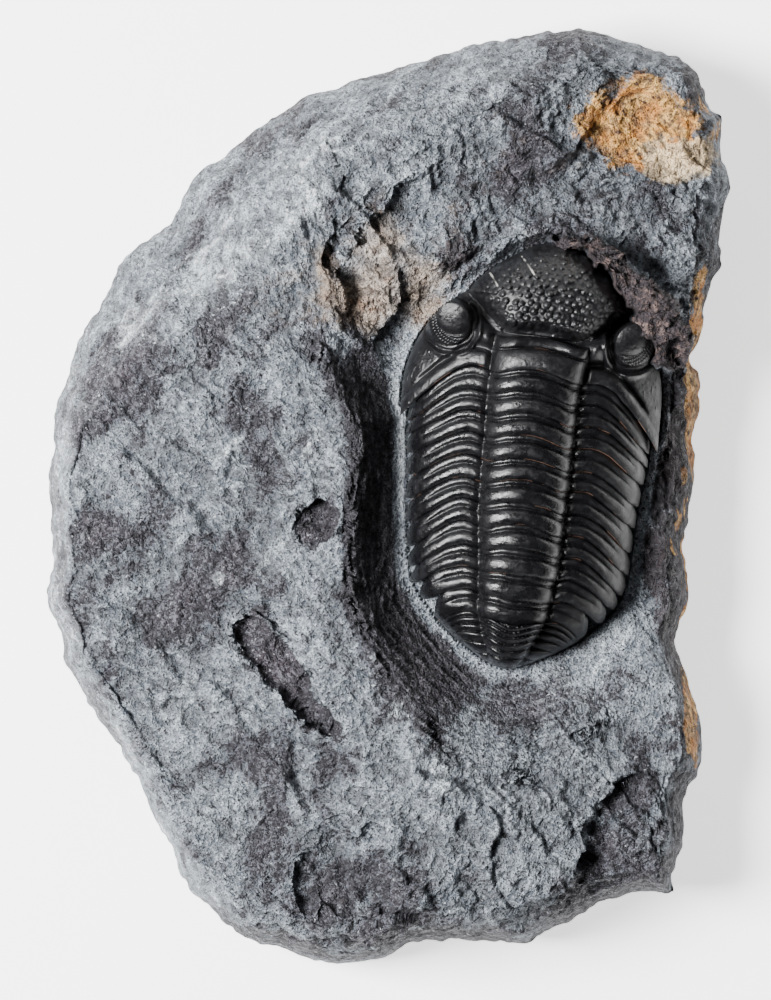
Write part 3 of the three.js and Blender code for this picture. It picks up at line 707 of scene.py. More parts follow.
def rock_top(bx, by, rim_line):
    """Height of the block's top, and the masks that colour it."""
    near, at = nearest_on(rim_line, bx, by)
    n = len(rim_line)
    ring = np.concatenate([rim_line, rim_line[:1]])
    rim = np.interp(at, np.arange(n + 1), ring[:, 2])
    bevel = np.interp(at, np.arange(n + 1), ring[:, 3])
    zero = bx * 0
    left = 44 + 0.12 * (bx + 9) + 0.05 * (by - 10)
    right = 43 - 0.16 * bx
    face = soft_min(left, right, 3)
    face = face + 2.2 * fbm(bx, by, zero, 46, 1, 2)
    # scars and pits of the broken face
    scar = bump(bx, by, 52, 79, 14, 11, 0.2)
    face = face - 6.0 * scar
    wobble = 0.16 * noise(bx, by, zero, 3.5, 14)
    flake_edge = np.interp(by, [-90, -86, -78, -66, -60, -54], [34, 36, 39.5, 42, 47, 56]) + 5 * wobble
    flake = smooth(0, 2.6, bx - flake_edge) * np.exp(-np.maximum(bx - flake_edge, 0) / 15)
    flake = flake * smooth(-92, -84, by) * (1 - smooth(-60, -56, by))
    face = face - 4.6 * flake
    nick = 0.14 * noise(bx, by, zero, 1.9, 15)
    pit_form = bump(bx, by, -21.5, -38, 3.0, 16.0, math.radians(38))
    pit = ragged_hole(pit_form, 1.8 * wobble + nick)
    face = face - 3.8 * pit
    patch = bump(bx, by, -8, -78.5, 10, 10)
    face = face - 2.2 * ragged_hole(patch, 1.5 * wobble)
    spot = ragged_hole(bump(bx, by, -15.0, -5.0, 3.2, 5.2, -0.7), 2.0 * wobble + nick)
    face = face - 2.6 * spot
    long_crack, _ = nearest_on(LONG_CRACK, bx, by, closed=False)
    short_crack, _ = nearest_on(SHORT_CRACK, bx, by, closed=False)
    jag = 0.8 * noise(bx, by, zero, 3.0, 11)
    face = face - 1.8 * np.exp(-(((long_crack + jag) / 1.3) ** 2))
    face = face - 1.5 * np.exp(-(((short_crack + jag) / 1.4) ** 2))
    # a lower ledge right of a ragged scarp, which ends before the hollow
    scarp = np.interp(by, SCARP_Y, SCARP_X)
    scarp = scarp + 0.9 * noise(bx, by, zero, 5, 12) + 0.4 * noise(bx, by, zero, 1.6, 13)
    ledge = smooth(0, 3.0, bx - scarp) * (1 - smooth(60, 73, by)) * smooth(22, 38, by)
    face = face - ledge * mix(4.6, 2.4, smooth(0, 26, bx - scarp))
    spall = bump(bx, by, 17, 84.5, 4.5, 3.4, 0.4)
    face = face - 1.3 * smooth(0.25, 0.5, spall)
    climb = clamp(near / bevel, 0, 1)
    z = mix(rim, face, np.sin(climb * math.pi / 2) ** 0.9)
    # the hollow round the animal
    x, y = to_body(bx, by)
    sd = body_signed(x, y)
    angle = np.degrees(np.arctan2(y, x))
    slope = np.interp(angle, [w[0] for w in WALLS], [w[1] for w in WALLS])
    floor_width = np.interp(angle, [-180, 45, 60, 110, 130, 180], [1.4, 1.4, 0.4, 0.4, 1.4, 1.4])
    away = np.maximum(sd - floor_width, 0)
    wall = slope * away ** 1.12 / 1.25
    left_side = np.interp(angle, [-180, -84, -58, 158, 168, 180], [1, 1, 0, 0, 1, 1])
    core = np.maximum(-0.8, core_height(x, y) * 0.8 - 4.0)
    hollow = tilt_z(x, y, np.where(sd < 0, core, wall))
    height = soft_min(z, hollow, 2.0)
    in_hollow = smooth(-1.0, 3.0, z - hollow)
    shake = 0.55 * noise(bx, by, zero, 4, 22) + 0.3 * noise(bx, by, zero, 1.6, 25)
    wide_grooves = np.sin((sd + 1.3 * noise(bx, by, zero, 14, 21) + shake) / 1.9 * FULL_CIRCLE)
    fine_grooves = np.sin((sd + 0.9 * noise(bx, by, zero, 9, 23) - shake) / 1.25 * FULL_CIRCLE)
    carve = left_side * smooth(1.8, 3.5, sd) * (1 - smooth(18, 27, sd)) * smooth(-2, 4, z - hollow + 5)
    cuts = 0.30 * wide_grooves + 0.24 * fine_grooves
    height = height + carve * cuts * (0.6 + 0.9 * noise(bx, by, zero, 7, 24))
    # painted light: the strip along the tips of the left flank is coloured pale, as if lit
    band = left_side * smooth(0.1, 0.4, sd) * (1 - smooth(1.3, 2.2, sd))
    band = band * (1 - smooth(-165, -130, angle) * (angle < 0))
    # the crust left round the front right of the head
    lump, at_lump = nearest_on(CRUST[:, :2], bx, by, closed=False)
    wide = np.interp(at_lump, range(len(CRUST)), CRUST[:, 2])
    rough = 1.0 * noise(bx, by, zero, 3.2, 31) + 0.6 * noise(bx, by, zero, 1.3, 32)
    crust = 1 - smooth(0.72, 1.08, (lump + rough) / wide)
    lift = np.interp(at_lump, range(len(CRUST)), CRUST[:, 3])
    base = np.maximum(height, tilt_z(x, y, lift + 1.5 * (1 - (lump / 6) ** 2)))
    height = mix(height, base, crust)
    height = height + crust * (1.2 * noise(bx, by, zero, 4.0, 33) + 0.9 * noise(bx, by, zero, 1.8, 34))
    masks = {"near": near, "sd": sd, "angle": angle, "climb": climb, "hollow": in_hollow, "carve": carve}
    masks.update({"scar": scar, "flake": flake, "pit": pit, "patch": patch, "spot": spot, "crust": crust})
    # painted light and painted shade follow the grooves' ridges and furrows
    masks.update({"groove_light_and_shade": carve * (0.7 * wide_grooves + 0.5 * fine_grooves), "band": band})
    masks["crack"] = np.minimum(long_crack, short_crack)
    return height, masks


def rock_grid(around, top_rings, wall_rings):
    """The block's smooth form as rings from its middle, over the rim and down to its base's middle.

    Also gives the masks of its top, and each wall ring's share of the way down."""
    rim_line = closed_spline(RIM, around)
    rim_x, rim_y = rim_line[:, 0], rim_line[:, 1]
    out_dir = np.stack([rim_x, rim_y], 1) - CENTRE
    out_dir /= np.hypot(*out_dir.T)[:, None]
    t = np.linspace(0, 1, top_rings + 1)[1:, None]
    t = 1 - (1 - t) ** 1.15
    x = CENTRE[0] + (rim_x - CENTRE[0]) * t
    y = CENTRE[1] + (rim_y - CENTRE[1]) * t
    z, masks = rock_top(x, y, rim_line[:: max(1, around // RIM_SAMPLES)])
    # the outline is ragged in small
    jag = 0.75 * fbm(rim_x, rim_y, rim_x * 0, 7.0, 5, 4) + 0.35 * noise(rim_x, rim_y, rim_x * 0, 1.6, 6)
    ragged = rim_line[:, :2] + out_dir * jag[:, None]
    x = x + out_dir[:, 0] * jag * t ** 14
    y = y + out_dir[:, 1] * jag * t ** 14
    down = np.linspace(0, 1, wall_rings + 1)[1:, None]
    tuck = 1 - (1 - BASE_SCALE) * (down ** 2.4)
    wall_x = CENTRE[0] + (ragged[:, 0] - CENTRE[0]) * tuck
    wall_y = CENTRE[1] + (ragged[:, 1] - CENTRE[1]) * tuck
    wall_z = z[-1][None, :] * (1 - down)
    base_x = CENTRE[0] + (wall_x[-1] - CENTRE[0]) * BASE_RINGS[:, None]
    base_y = CENTRE[1] + (wall_y[-1] - CENTRE[1]) * BASE_RINGS[:, None]
    x = np.concatenate([x, wall_x, base_x])
    y = np.concatenate([y, wall_y, base_y])
    z = np.concatenate([z, wall_z, base_x * 0])
    return np.stack([x, y, z], -1), masks, down


def over_all(mask, rows, fill):
    """A mask of the top carried on down the sides: with fill, or with the rim's values where it is None."""
    rest = np.broadcast_to(mask[-1] if fill is None else fill, (rows - mask.shape[0], mask.shape[1]))
    return np.concatenate([mask, rest])


def terraces(field, edge):
    """Long low steps: each whole step of the field falls slowly, and climbs back sharply past edge."""
    part = field - np.floor(field)
    return smooth(edge, 1.0, part) - part


def roughness(x, y, z, m):
    """How rough the stone is in each place: smoother in the prepared hollow and beside the animal."""
    head_side = smooth(35, 60, m["angle"]) * (1 - smooth(150, 168, m["angle"]))
    tail_side = smooth(-100, -75, m["angle"]) * (1 - smooth(-25, 0, m["angle"])) * smooth(7, 13, m["sd"])
    rough = 1 - 0.85 * m["hollow"] * (1 - 0.65 * head_side) * (1 - 0.8 * tail_side)
    near_body = 1 - smooth(0.0, 3.0, m["sd"])
    rough = rough * (1 - 0.9 * near_body)
    return np.maximum(np.maximum(rough, 0.9 * m["right_strip"]), 0.4 * m["carve"])


def stone_relief(x, y, z, m, down):
    """How far the stone stands out from its smooth form, and a painted shade mask that is darker where the
    relief is low and on the hollow's left wall.
    """
    near, sd, angle, climb = m["near"], m["sd"], m["angle"], m["climb"]
    rough = roughness(x, y, z, m)
    warp = 2.0 * noise(x, y, z, 9, 51)
    along = (x - y) * 0.7071 * 0.62
    cross = (x + y) * 0.7071
    # broken planes of four sizes
    huge = facets(along + warp, cross - warp, z * 1.3, 17, 101, 0.55, 0.06)
    large = facets(along - warp * 0.6, cross + warp * 0.6, z, 7.0, 121, 0.6, 0.10)
    medium = facets(x + 0.4 * warp, y, z, 2.8, 141, 0.8, 0.2)
    small = facets(x, y + 0.2 * warp, z, 1.3, 151, 0.8, 0.3)
    grain = fbm(x, y, z, 1.3, 161, 2)
    patchy = clamp(0.8 + 1.1 * fbm(x, y, z, 24, 175, 3), 0.15, 1.6)
    amount = 2.5 * huge + (0.75 * large + 0.20 * medium + 0.16 * small) * patchy + 0.45 * grain
    # flaked terraces of three sizes, which fade out round the tail
    long_steps = terraces(4.2 * fbm(along * 0.8 + warp * 0.4, cross, z, 38, 301, 5, 0.52), 0.86)
    steps = terraces(5.0 * fbm(along, cross * 0.8 - warp, z, 19, 311, 5, 0.55), 0.84)
    short_steps = terraces(6.0 * fbm(along - warp, cross * 0.9, z, 11, 321, 5, 0.6), 0.80)
    calm = smooth(-130, -100, angle) * (1 - smooth(-45, -25, angle)) * (1 - smooth(20, 32, sd))
    amount = amount + (1.5 * long_steps + 0.9 * steps + 0.5 * short_steps) * (1 - 0.8 * calm)
    amount = amount + 1.3 * (ridged(along, cross, z, 14, 171, 5) - 0.6)
    upper_left = smooth(10, 40, y * 0.6 - x) * (1 - smooth(0.85, 1.0, climb))
    amount = amount * rough * (1 - 0.45 * upper_left)
    # the displacement stays small at the rim, and draws in down the side walls
    top_rings, wall_rings = len(x) - len(down) - len(BASE_RINGS), len(down)
    wall = np.zeros(x.shape)
    wall[top_rings:top_rings + wall_rings] = down
    wall[top_rings + wall_rings:] = 1
    edge_keep = 0.35 + 0.65 * smooth(0, 6, near)
    edge_keep[top_rings:] = 0.35 + 0.65 * smooth(0, 0.35, wall[top_rings:])
    amount = amount * edge_keep - 0.3 * (1 - smooth(0, 4, near))
    drawn_in = soft_min(amount, -0.3, 0.4) * (1 + 1.2 * smooth(0, 0.4, wall))
    amount = np.where(wall > 0, drawn_in, amount)
    # bevel streaks that run along the upper left edge
    streak = noise(x * 0.25 + near * 2.2, y * 0.05, z * 0, 3.0, 181)
    streak = streak * smooth(0.0, 0.3, climb) * (1 - smooth(0.75, 1.0, climb))
    amount = amount + 0.6 * streak * upper_left
    for key, height, size, seed in [("patch", 0.9, 2.2, 191), ("pit", 0.8, 2.0, 192), ("scar", 0.6, 3.5, 193),
                                    ("flake", 0.8, 2.4, 194)]:
        amount = amount + m[key] * height * noise(x, y, z, size, seed)
    lumps = 0.9 * noise(x, y, z, 3.0, 195) + 0.7 * noise(x, y, z, 1.4, 196) - 0.3
    amount = amount + m["right_strip"] * lumps
    amount = amount * smooth(0.0, 3.0, z) - 0.25
    amount = np.where(sd < 0, np.minimum(amount, 0), amount)
    # painted shade: the colour is darkened where the relief is low, and more on the hollow's left wall
    raised = 0.3 * huge + 0.4 * large + 0.5 * grain + 0.8 * steps + 0.8 * short_steps
    recess_shade = clamp(0.5 - 0.5 * raised * rough, 0, 1) + 0.40 * m["shade"]
    return amount, recess_shade


def dark_mask(x, y, z, m):
    """Where the stone is darker: clouds of dark specks, patches and scars, and painted shade in the pits, the
    cracks and on the hollow's left wall, while the strip by the animal is made paler as painted light.
    """
    leaning = fbm((x * 0.9 - y * 0.42) * 1.5, (x * 0.42 + y * 0.9) * 0.6, z, 9, 211, 4)
    # painted shade: the pit, the spot and the cracks are darkened in their hollows; the patches and the flake
    # scar are darker stone
    dark = 1.1 * fbm(x, y, z, 20, 201, 3) + 1.1 * leaning + m["patch"] + 1.5 * m["pit"]
    dark = dark + 1.1 * m["flake"] + 1.6 * m["spot"] + 1.2 * np.exp(-((m["crack"] / 2.2) ** 2))
    left = smooth(150, 180, np.abs(m["angle"]))
    # painted shade in the hollow on the left, in its carved grooves and on its left wall; painted light where
    # the strip by the animal is made paler
    dark = dark + 0.5 * m["hollow"] * left * (1 - m["band"]) + 0.4 * m["carve"] + 1.2 * m["shade"] - m["band"]
    for cx, cy, rx, ry, turn in DARK_PATCHES:
        dark = dark + 0.85 * bump(x, y, cx, cy, rx, ry, turn)
    return dark


def light_mask(x, y, z, smooth_x, smooth_y, m):
    """Where the stone is paler: clouds and threads, and painted light on the upper left bevel, the left rim
    and the strip by the animal.
    """
    light = 0.6 * fbm(x, y, z, 9, 221, 4) + 0.5 * noise(x, y, z, 1.5, 231) * noise(x, y, z, 6, 232)
    bevel = smooth(0.15, 0.5, m["climb"]) * (1 - smooth(0.75, 1.0, m["climb"]))
    # painted light: the upper left bevel and the left rim are paler, as on the side that faces the lamp
    light = light + 0.35 * bevel * smooth(0, 40, smooth_y * 0.6 - smooth_x)
    light = light + 0.4 * (1 - smooth(2.0, 5.0, m["near"])) * smooth(20, 60, -smooth_x)
    light = light + 0.8 * bump(x, y, 42, -29, 12, 5, 0.35) * smooth(0.5, 3, m["sd"])
    # painted light on the strip along the left flank's tips
    light = light + 1.6 * m["band"]
    streak, _ = nearest_on(LIGHT_STREAK, x, y, closed=False)
    light = light + np.exp(-((streak / 3.6) ** 2)) * (0.5 + 0.8 * noise(x, y, z, 5, 237))
    thread = ridged((x * 0.8 - y * 0.6) * 1.3, (x * 0.6 + y * 0.8) * 0.5, z, 12, 235, 5)
    return light + 1.3 * smooth(0.80, 0.93, thread) * smooth(-0.1, 0.3, fbm(x, y, z, 14, 236, 2))


def ochre_mask(x, y, z):
    """Iron stains: the scar at the upper right, and the right edge in strips and flecks."""
    scar = bump(x, y, 54.0, 77.5, 17.0, 12.5, -0.25) + 0.30 * fbm(x, y, z, 6, 251, 4)
    upper = bump(x, y, 65.5, 25, 4.2, 28) + 0.35 * fbm(x, y * 0.4, z, 5, 261, 4)
    lower = bump(x, y, 64, -45, 3, 16) + 0.4 * fbm(x, y, z, 4, 262, 3)
    fleck = 0.8 * bump(x, y, 63, -10, 6, 50) + 0.7 * fbm(x, y * 0.6, z, 3, 263, 3)
    strip = np.maximum(smooth(0.45, 0.8, upper), 0.8 * smooth(0.5, 0.8, lower))
    ochre = np.maximum(smooth(0.30, 0.72, scar), strip)
    return np.maximum(ochre, 0.8 * smooth(0.72, 0.95, fleck))


def umber_mask(x, y, z, m):
    """Brown black stains: the right strip, a patch before the head, and the upper right edge."""
    strip = bump(x, y, 61, -12, 6, 44) * 0.9 + 0.55 * fbm(x, y * 0.5, z, 6, 281, 4) + 0.62 * m["right_strip"]
    before_head = 0.9 * bump(x, y, 14, 50, 8, 6) + 0.45 * fbm(x, y, z, 3, 282, 3)
    upper_edge = 1.1 * bump(x, y, 65, 88, 9, 5, -0.7) + 0.5 * fbm(x, y, z, 4, 283, 3)
    umber = np.maximum(smooth(0.45, 0.9, strip), smooth(0.5, 0.8, before_head))
    return np.maximum(umber, smooth(0.5, 0.9, upper_edge))


def build_rock():
    around, top_rings, wall_rings = ((1120, 210, 52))
    p, masks, down = rock_grid(around, top_rings, wall_rings)
    rows = len(p)
    fills = {"sd": None, "angle": None, "crack": 99.0}
    m = {key: over_all(mask, rows, fills.get(key, 0.0)) for key, mask in masks.items()}
    sd, angle = m["sd"], m["angle"]
    m["right_strip"] = smooth(1.0, 3.5, sd) * (1 - smooth(25, 60, np.abs(angle + 5)))
    # painted shade: the hollow's wall left of the animal is darkened in colour, as if in shadow
    shade = m["carve"] * (1 - smooth(-112, -80, angle) * (angle < 0))
    m["shade"] = shade * (1 - 0.6 * smooth(-150, -110, angle) * (angle < 0) * smooth(9, 16, sd))
    # normals of the smooth form; near the rim the top's are upright
    normals = np.cross(np.roll(p, -1, 1) - np.roll(p, 1, 1), np.gradient(p, axis=0))
    normals /= np.linalg.norm(normals, axis=-1)[..., None] + 1e-9
    normals[:top_rings, :, :2] *= smooth(0.5, 4, m["near"][:top_rings])[..., None]
    smooth_x, smooth_y, smooth_z = p[..., 0], p[..., 1], p[..., 2]
    amount, recess_shade = stone_relief(smooth_x, smooth_y, smooth_z, m, down)
    p = p + normals * amount[..., None]
    p[..., 2] = np.maximum(p[..., 2], 0.0)
    p[-1 - len(BASE_RINGS):, :, 2] = 0.0
    x, y, z = p[..., 0], p[..., 1], p[..., 2]
    warm = bump(x, y, 0, 45, 14, 12) * 1.2 + 0.5 * bump(x, y, -10, 50, 20, 9, 0.6)
    warm = (warm + 0.35 * bump(x, y, 30, 70, 20, 14)) * (0.75 + 0.6 * fbm(x, y, z, 8, 241, 3))
    cream = smooth(0.3, 0.8, bump(x, y, 61, 71.5, 10, 6.5, 0.1) + 0.35 * fbm(x, y, z, 4.5, 271, 4))
    return make_rock_mesh("stone", p, {
        "dark": dark_mask(x, y, z, m), "light": light_mask(x, y, z, smooth_x, smooth_y, m), "warm": warm,
        "ochre": ochre_mask(x, y, z), "cream": cream, "umber": umber_mask(x, y, z, m),
        "crust": m["crust"], "recess_shade": recess_shade, "groove_light_and_shade": m["groove_light_and_shade"],
    })


def make_rock_mesh(name, p, attributes):
    """Joins the rings p with triangles, and closes the first and the last ring on a middle point each."""
    rows, around = p.shape[:2]
    top_middle, low_middle = rows * around, rows * around + 1
    middles = np.array([[*CENTRE, p[0, :, 2].mean()], [*CENTRE, 0.0]])
    verts = np.concatenate([p.reshape(-1, 3), middles]) * MM
    idx = np.arange(rows * around).reshape(rows, around)
    a, b = idx[:-1], idx[1:]
    quads = np.stack([a, b, np.roll(b, -1, 1), np.roll(a, -1, 1)], -1).reshape(-1, 4)
    top = np.stack([np.full(around, top_middle), idx[0], np.roll(idx[0], -1)], 1)
    low = np.stack([np.roll(idx[-1], -1), idx[-1], np.full(around, low_middle)], 1)
    tris = np.concatenate([quads[:, [0, 1, 2]], quads[:, [0, 2, 3]], top, low])
    at_middles = np.zeros(len(middles))
    values = {key: np.concatenate([np.asarray(v).ravel(), at_middles]) for key, v in attributes.items()}
    return make_object(name, verts, tris, values)


# ---------------------------------------------------------------- materials
class Nodes:
    """Short helpers for building a procedural material."""

    def __init__(self, name):
        self.material = bpy.data.materials.new(name)
        self.material.use_nodes = True
        self.tree = self.material.node_tree
        self.tree.nodes.clear()
        self.out = self.add("ShaderNodeOutputMaterial")
        self.bsdf = self.add("ShaderNodeBsdfPrincipled")
        self.link(self.bsdf.outputs[0], self.out.inputs["Surface"])
        self.coords = self.add("ShaderNodeTexCoord").outputs["Object"]

    def add(self, kind, **settings):
        node = self.tree.nodes.new(kind)
        for key, value in settings.items():
            setattr(node, key, value)
        return node

    def link(self, a, b):
        self.tree.links.new(a, b)

    def put(self, socket, value):
        if isinstance(value, bpy.types.NodeSocket):
            self.link(value, socket)
        else:
            socket.default_value = value

    def math(self, op, a, b=0.0):
        node = self.add("ShaderNodeMath", operation=op)
        self.put(node.inputs[0], a)
        self.put(node.inputs[1], b)
        return node.outputs[0]

    def noise(self, size_mm, detail=4.0, rough=0.55, distort=0.0):
        node = self.add("ShaderNodeTexNoise")
        node.inputs["Scale"].default_value = 1000.0 / size_mm
        node.inputs["Detail"].default_value = detail
        node.inputs["Roughness"].default_value = rough
        node.inputs["Distortion"].default_value = distort
        self.link(self.coords, node.inputs["Vector"])
        return node.outputs["Fac"]

    def attribute(self, name):
        return self.add("ShaderNodeAttribute", attribute_name=name).outputs["Fac"]

    def ramp(self, value, low, high, out_low=0.0, out_high=1.0):
        node = self.add("ShaderNodeMapRange", interpolation_type="SMOOTHSTEP")
        sockets = ("Value", "From Min", "From Max", "To Min", "To Max")
        for socket, v in zip(sockets, (value, low, high, out_low, out_high)):
            self.put(node.inputs[socket], v)
        return node.outputs[0]

    def mix(self, a, b, t):
        node = self.add("ShaderNodeMix", data_type="RGBA")
        self.put(node.inputs[0], t)
        self.put(node.inputs[6], a)
        self.put(node.inputs[7], b)
        return node.outputs[2]

    def bump(self, height, distance_mm, strength, normal=None):
        node = self.add("ShaderNodeBump")
        node.inputs["Strength"].default_value = strength
        node.inputs["Distance"].default_value = distance_mm * MM
        self.link(height, node.inputs["Height"])
        if normal is not None:
            self.link(normal, node.inputs["Normal"])
        return node.outputs[0]


def srgb(r, g, b):
    def lin(c):
        c = c / 255.0
        return c / 12.92 if c <= 0.04045 else ((c + 0.055) / 1.055) ** 2.4
    return (lin(r), lin(g), lin(b), 1.0)


def stone_material():
    n = Nodes("limestone")
    big = n.noise(17, 5, 0.6, distort=0.8)
    mid = n.noise(4.8, 5, 0.68, distort=0.3)
    fine = n.noise(1.7, 3, 0.7)
    tiny = n.noise(0.55, 1, 0.6)
    other = n.noise(0.85, 2, 0.7)
    dark = n.attribute("dark")
    light = n.attribute("light")

    def around(value, gain):
        return n.math("MULTIPLY", n.math("SUBTRACT", value, 0.5), gain)

    def times(value, gain):
        return n.math("MULTIPLY", value, gain)

    def total(*values):
        out = values[0]
        for value in values[1:]:
            out = n.math("ADD", out, value)
        return out

    # grey limestone, clouded at every scale
    cloud = total(mid, around(fine, 1.1), around(other, 0.9), around(tiny, 0.7), times(light, 0.2))
    colour = n.mix(srgb(84, 90, 98), srgb(164, 172, 180), n.ramp(cloud, 0.2, 0.8))
    # purplish black patches, which are dense clouds of specks; the dark attribute also brings painted shade
    # into the pits, the cracks and the hollow's left wall
    patch = n.ramp(total(dark, around(big, 2.6), around(mid, 2.6)), 0.0, 0.62)
    colour = n.mix(colour, srgb(78, 76, 84), times(patch, 0.72))
    grains = total(around(fine, 1.6), around(other, 2.6), around(tiny, 2.6))
    speck = n.ramp(total(grains, times(patch, 0.72)), 0.42, 0.80)
    colour = n.mix(colour, srgb(31, 28, 34), times(speck, 0.92))
    # pale flecks and clouds; the light attribute also brings painted light to the upper left bevel, the left
    # rim and the strip by the animal
    pale = n.ramp(total(times(light, 0.9), around(mid, 2.4), around(fine, 2.0)), 0.35, 1.15)
    colour = n.mix(colour, srgb(188, 195, 201), times(pale, 0.62))
    flecks = total(around(n.noise(1.5, 3, 0.7), 2.2), around(n.noise(0.6, 1, 0.6), 2.2), times(light, 0.3))
    fleck = n.ramp(flecks, 0.50, 0.85)
    colour = n.mix(colour, srgb(216, 220, 223), times(fleck, 0.8))
    purple = n.ramp(total(around(big, 2.0), around(mid, 1.2), times(dark, 0.5)), 0.3, 0.9)
    colour = n.mix(colour, srgb(90, 70, 78), times(purple, 0.18))
    warm = n.ramp(total(n.attribute("warm"), around(mid, 1.4), around(fine, 0.7)), 0.25, 1.05)
    colour = n.mix(colour, srgb(196, 172, 148), times(warm, 0.6))
    rust = n.ramp(total(n.attribute("warm"), around(mid, 2.2), around(fine, 2.0)), 0.95, 1.5)
    colour = n.mix(colour, srgb(150, 104, 66), times(rust, 0.55))
    umber = total(n.attribute("umber"), around(fine, 2.4), around(mid, 1.2), around(tiny, 1.5))
    colour = n.mix(colour, srgb(50, 40, 43), times(n.ramp(umber, 0.35, 0.8), 0.88))
    ochre_at = n.ramp(total(n.attribute("ochre"), around(fine, 1.4), around(mid, 1.0)), 0.35, 0.7)
    ochre = n.mix(srgb(190, 126, 54), srgb(234, 184, 106), n.ramp(mid, 0.4, 0.62))
    ochre = n.mix(ochre, srgb(118, 74, 42), n.ramp(total(fine, around(mid, 0.6)), 0.54, 0.72))
    colour = n.mix(colour, ochre, times(ochre_at, 0.95))
    cream = n.ramp(total(n.attribute("cream"), around(mid, 1.2), around(fine, 1.0)), 0.35, 0.8)
    colour = n.mix(colour, srgb(230, 204, 164), times(cream, 0.85))
    # painted light and painted shade along the hollow's grooves: ridges paler as if lit, furrows darker as if
    # shaded
    groove_light_and_shade = n.ramp(total(n.attribute("groove_light_and_shade"), around(fine, 1.2), around(mid, 1.0)), 0.1, 0.9)
    colour = n.mix(colour, srgb(140, 143, 148), times(groove_light_and_shade, 0.3))
    furrow = n.ramp(total(times(n.attribute("groove_light_and_shade"), -1.0), around(fine, 1.2), around(mid, 1.0)), 0.1, 0.9)
    colour = n.mix(colour, srgb(38, 37, 42), times(furrow, 0.7))
    # the crust: dark brown rock; its paler tone is brightened as painted light, to make up for the shadow of
    # the glabella on it
    crust = n.ramp(total(n.attribute("crust"), around(fine, 0.9)), 0.35, 0.7)
    crust_tone = n.ramp(total(fine, around(mid, 0.8)), 0.5, 0.74)
    crust_colour_and_painted_light = n.mix(srgb(44, 37, 41), srgb(122, 102, 96), crust_tone)
    colour = n.mix(colour, crust_colour_and_painted_light, crust)
    # painted shade: the stone is darkened in its low places and on the hollow's left wall
    recess_shade_amount = total(n.attribute("recess_shade"), around(fine, 1.4), around(mid, 0.8))
    colour = n.mix(colour, srgb(34, 32, 37), times(n.ramp(recess_shade_amount, 0.62, 1.05), 0.7))
    n.link(colour, n.bsdf.inputs["Base Color"])
    rough = n.ramp(fine, 0.3, 0.7, 0.55, 0.95)
    n.link(rough, n.bsdf.inputs["Roughness"])
    n.bsdf.inputs["Specular IOR Level"].default_value = 0.4
    b = n.bump(mid, 2.4, 0.9)
    b = n.bump(fine, 1.1, 1.0, b)
    b = n.bump(other, 0.7, 1.0, b)
    b = n.bump(tiny, 0.4, 1.0, b)
    n.link(b, n.bsdf.inputs["Normal"])
    return n.material


def shell_material(name, tint, rough_low, rough_high, granular):
    n = Nodes(name)
    mid = n.noise(2.4, 4, 0.6)
    fine = n.noise(0.55, 5, 0.65)
    tiny = n.noise(0.2, 3, 0.6)
    colour = n.mix(tint, tuple(c * 1.7 for c in tint[:3]) + (1.0,), n.ramp(mid, 0.4, 0.72))
    dust = n.ramp(n.math("ADD", tiny, n.math("MULTIPLY", mid, 0.3)), 0.80, 0.93)
    colour = n.mix(colour, srgb(120, 122, 124), n.math("MULTIPLY", dust, 0.5))
    joint = n.math("MULTIPLY", n.math("SUBTRACT", fine, 0.5), 0.7)
    joint = n.ramp(n.math("ADD", n.attribute("joint"), joint), 0.45, 0.9)
    colour = n.mix(colour, srgb(150, 116, 98), n.math("MULTIPLY", joint, 0.45))
    vein = n.ramp(n.attribute("vein"), 0.35, 0.8)
    colour = n.mix(colour, srgb(172, 170, 164), n.math("MULTIPLY", vein, 0.75))
    n.link(colour, n.bsdf.inputs["Base Color"])
    rough = n.ramp(n.math("ADD", mid, n.math("MULTIPLY", fine, 0.5)), 0.55, 0.95, rough_low, rough_high)
    rough = n.math("ADD", rough, n.math("MULTIPLY", n.attribute("tip"), 0.22))
    n.link(rough, n.bsdf.inputs["Roughness"])
    n.bsdf.inputs["Specular IOR Level"].default_value = 0.48
    b = n.bump(fine, 0.16, granular)
    b = n.bump(tiny, 0.08, granular, b)
    n.link(b, n.bsdf.inputs["Normal"])
    return n.material


# ---------------------------------------------------------------- assemble
head_black = shell_material("shell_head", srgb(14, 14, 16), 0.27, 0.46, 0.6)
thorax_black = shell_material("shell_thorax", srgb(10, 10, 12), 0.21, 0.38, 0.45)
tail_black = shell_material("shell_tail", srgb(10, 10, 12), 0.21, 0.36, 0.45)


def finish_piece(obj, node, material):
    obj.data.materials.append(material)
    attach(obj, "root")
    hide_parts(node)


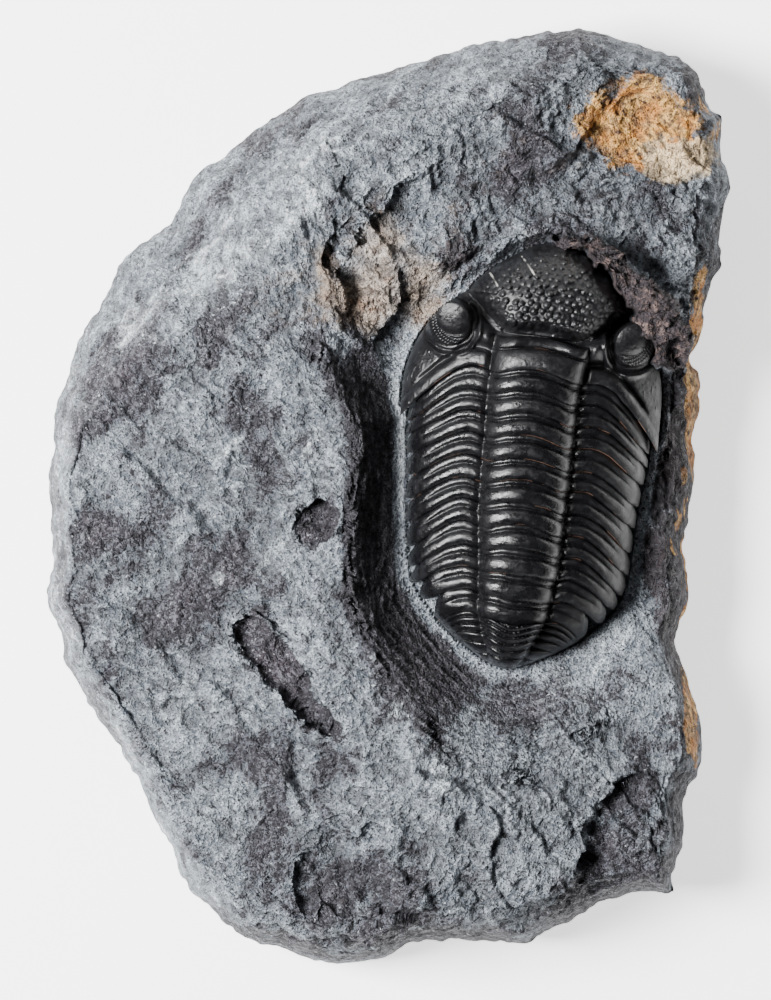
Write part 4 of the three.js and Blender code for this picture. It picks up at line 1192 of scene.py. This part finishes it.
finish_piece(build_rock(), "limestone_block", stone_material())
finish_piece(build_head(), "head_shield", head_black)
for i in range(1, SEGMENTS + 1):
    finish_piece(build_segment(i), "thorax_segment_%02d" % i, thorax_black)
finish_piece(build_tail(), "tail_shield", tail_black)

# ---------------------------------------------------------------- floor, light and camera
floor_mesh = bpy.data.meshes.new("floor")
span = 3.0
corners = [(-span, -span, 0), (span, -span, 0), (span, span, 0), (-span, span, 0)]
floor_mesh.from_pydata(corners, [], [(0, 1, 2, 3)])
floor = bpy.data.objects.new("floor", floor_mesh)
bpy.context.scene.collection.objects.link(floor)
white = bpy.data.materials.new("paper")
white.use_nodes = True
paper = white.node_tree.nodes["Principled BSDF"].inputs
paper["Base Color"].default_value = (0.95, 0.95, 0.95, 1)
paper["Roughness"].default_value = 0.9
paper["Emission Color"].default_value = (1, 1, 1, 1)
paper["Emission Strength"].default_value = 1.6
floor_mesh.materials.append(white)


def area_light(name, place_at, look_at, size, power):
    data = bpy.data.lights.new(name, "AREA")
    data.shape = "RECTANGLE"
    data.size, data.size_y = size
    data.energy = power
    obj = bpy.data.objects.new(name, data)
    obj.location = place_at
    obj.rotation_euler = (Vector(look_at) - Vector(place_at)).to_track_quat("-Z", "Y").to_euler()
    bpy.context.scene.collection.objects.link(obj)
    return obj


lo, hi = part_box("limestone_block")
middle = ((lo[0] + hi[0]) / 2, (lo[1] + hi[1]) / 2, 0.03)
area_light("key", (middle[0] - 0.62, middle[1] + 0.05, 0.80), middle, (0.40, 0.40), 50.0)
area_light("fill", (middle[0] - 0.1, middle[1] + 0.9, 0.7), middle, (0.6, 0.3), 3.0)

world = bpy.data.worlds.new("studio")
world.use_nodes = True
world.node_tree.nodes["Background"].inputs["Color"].default_value = (1, 1, 1, 1)
world.node_tree.nodes["Background"].inputs["Strength"].default_value = 0.07
bpy.context.scene.world = world

camera_data = bpy.data.cameras.new("camera")
camera_data.lens = 205.7
camera_data.sensor_width = 36.0
camera_data.sensor_fit = "AUTO"
camera_data.clip_end = 20
camera = bpy.data.objects.new("camera", camera_data)
camera.location = (-0.0008, -0.0002, 1.2 + 0.03)
camera.rotation_euler = (0, 0, 0)
bpy.context.scene.collection.objects.link(camera)
bpy.context.scene.camera = camera
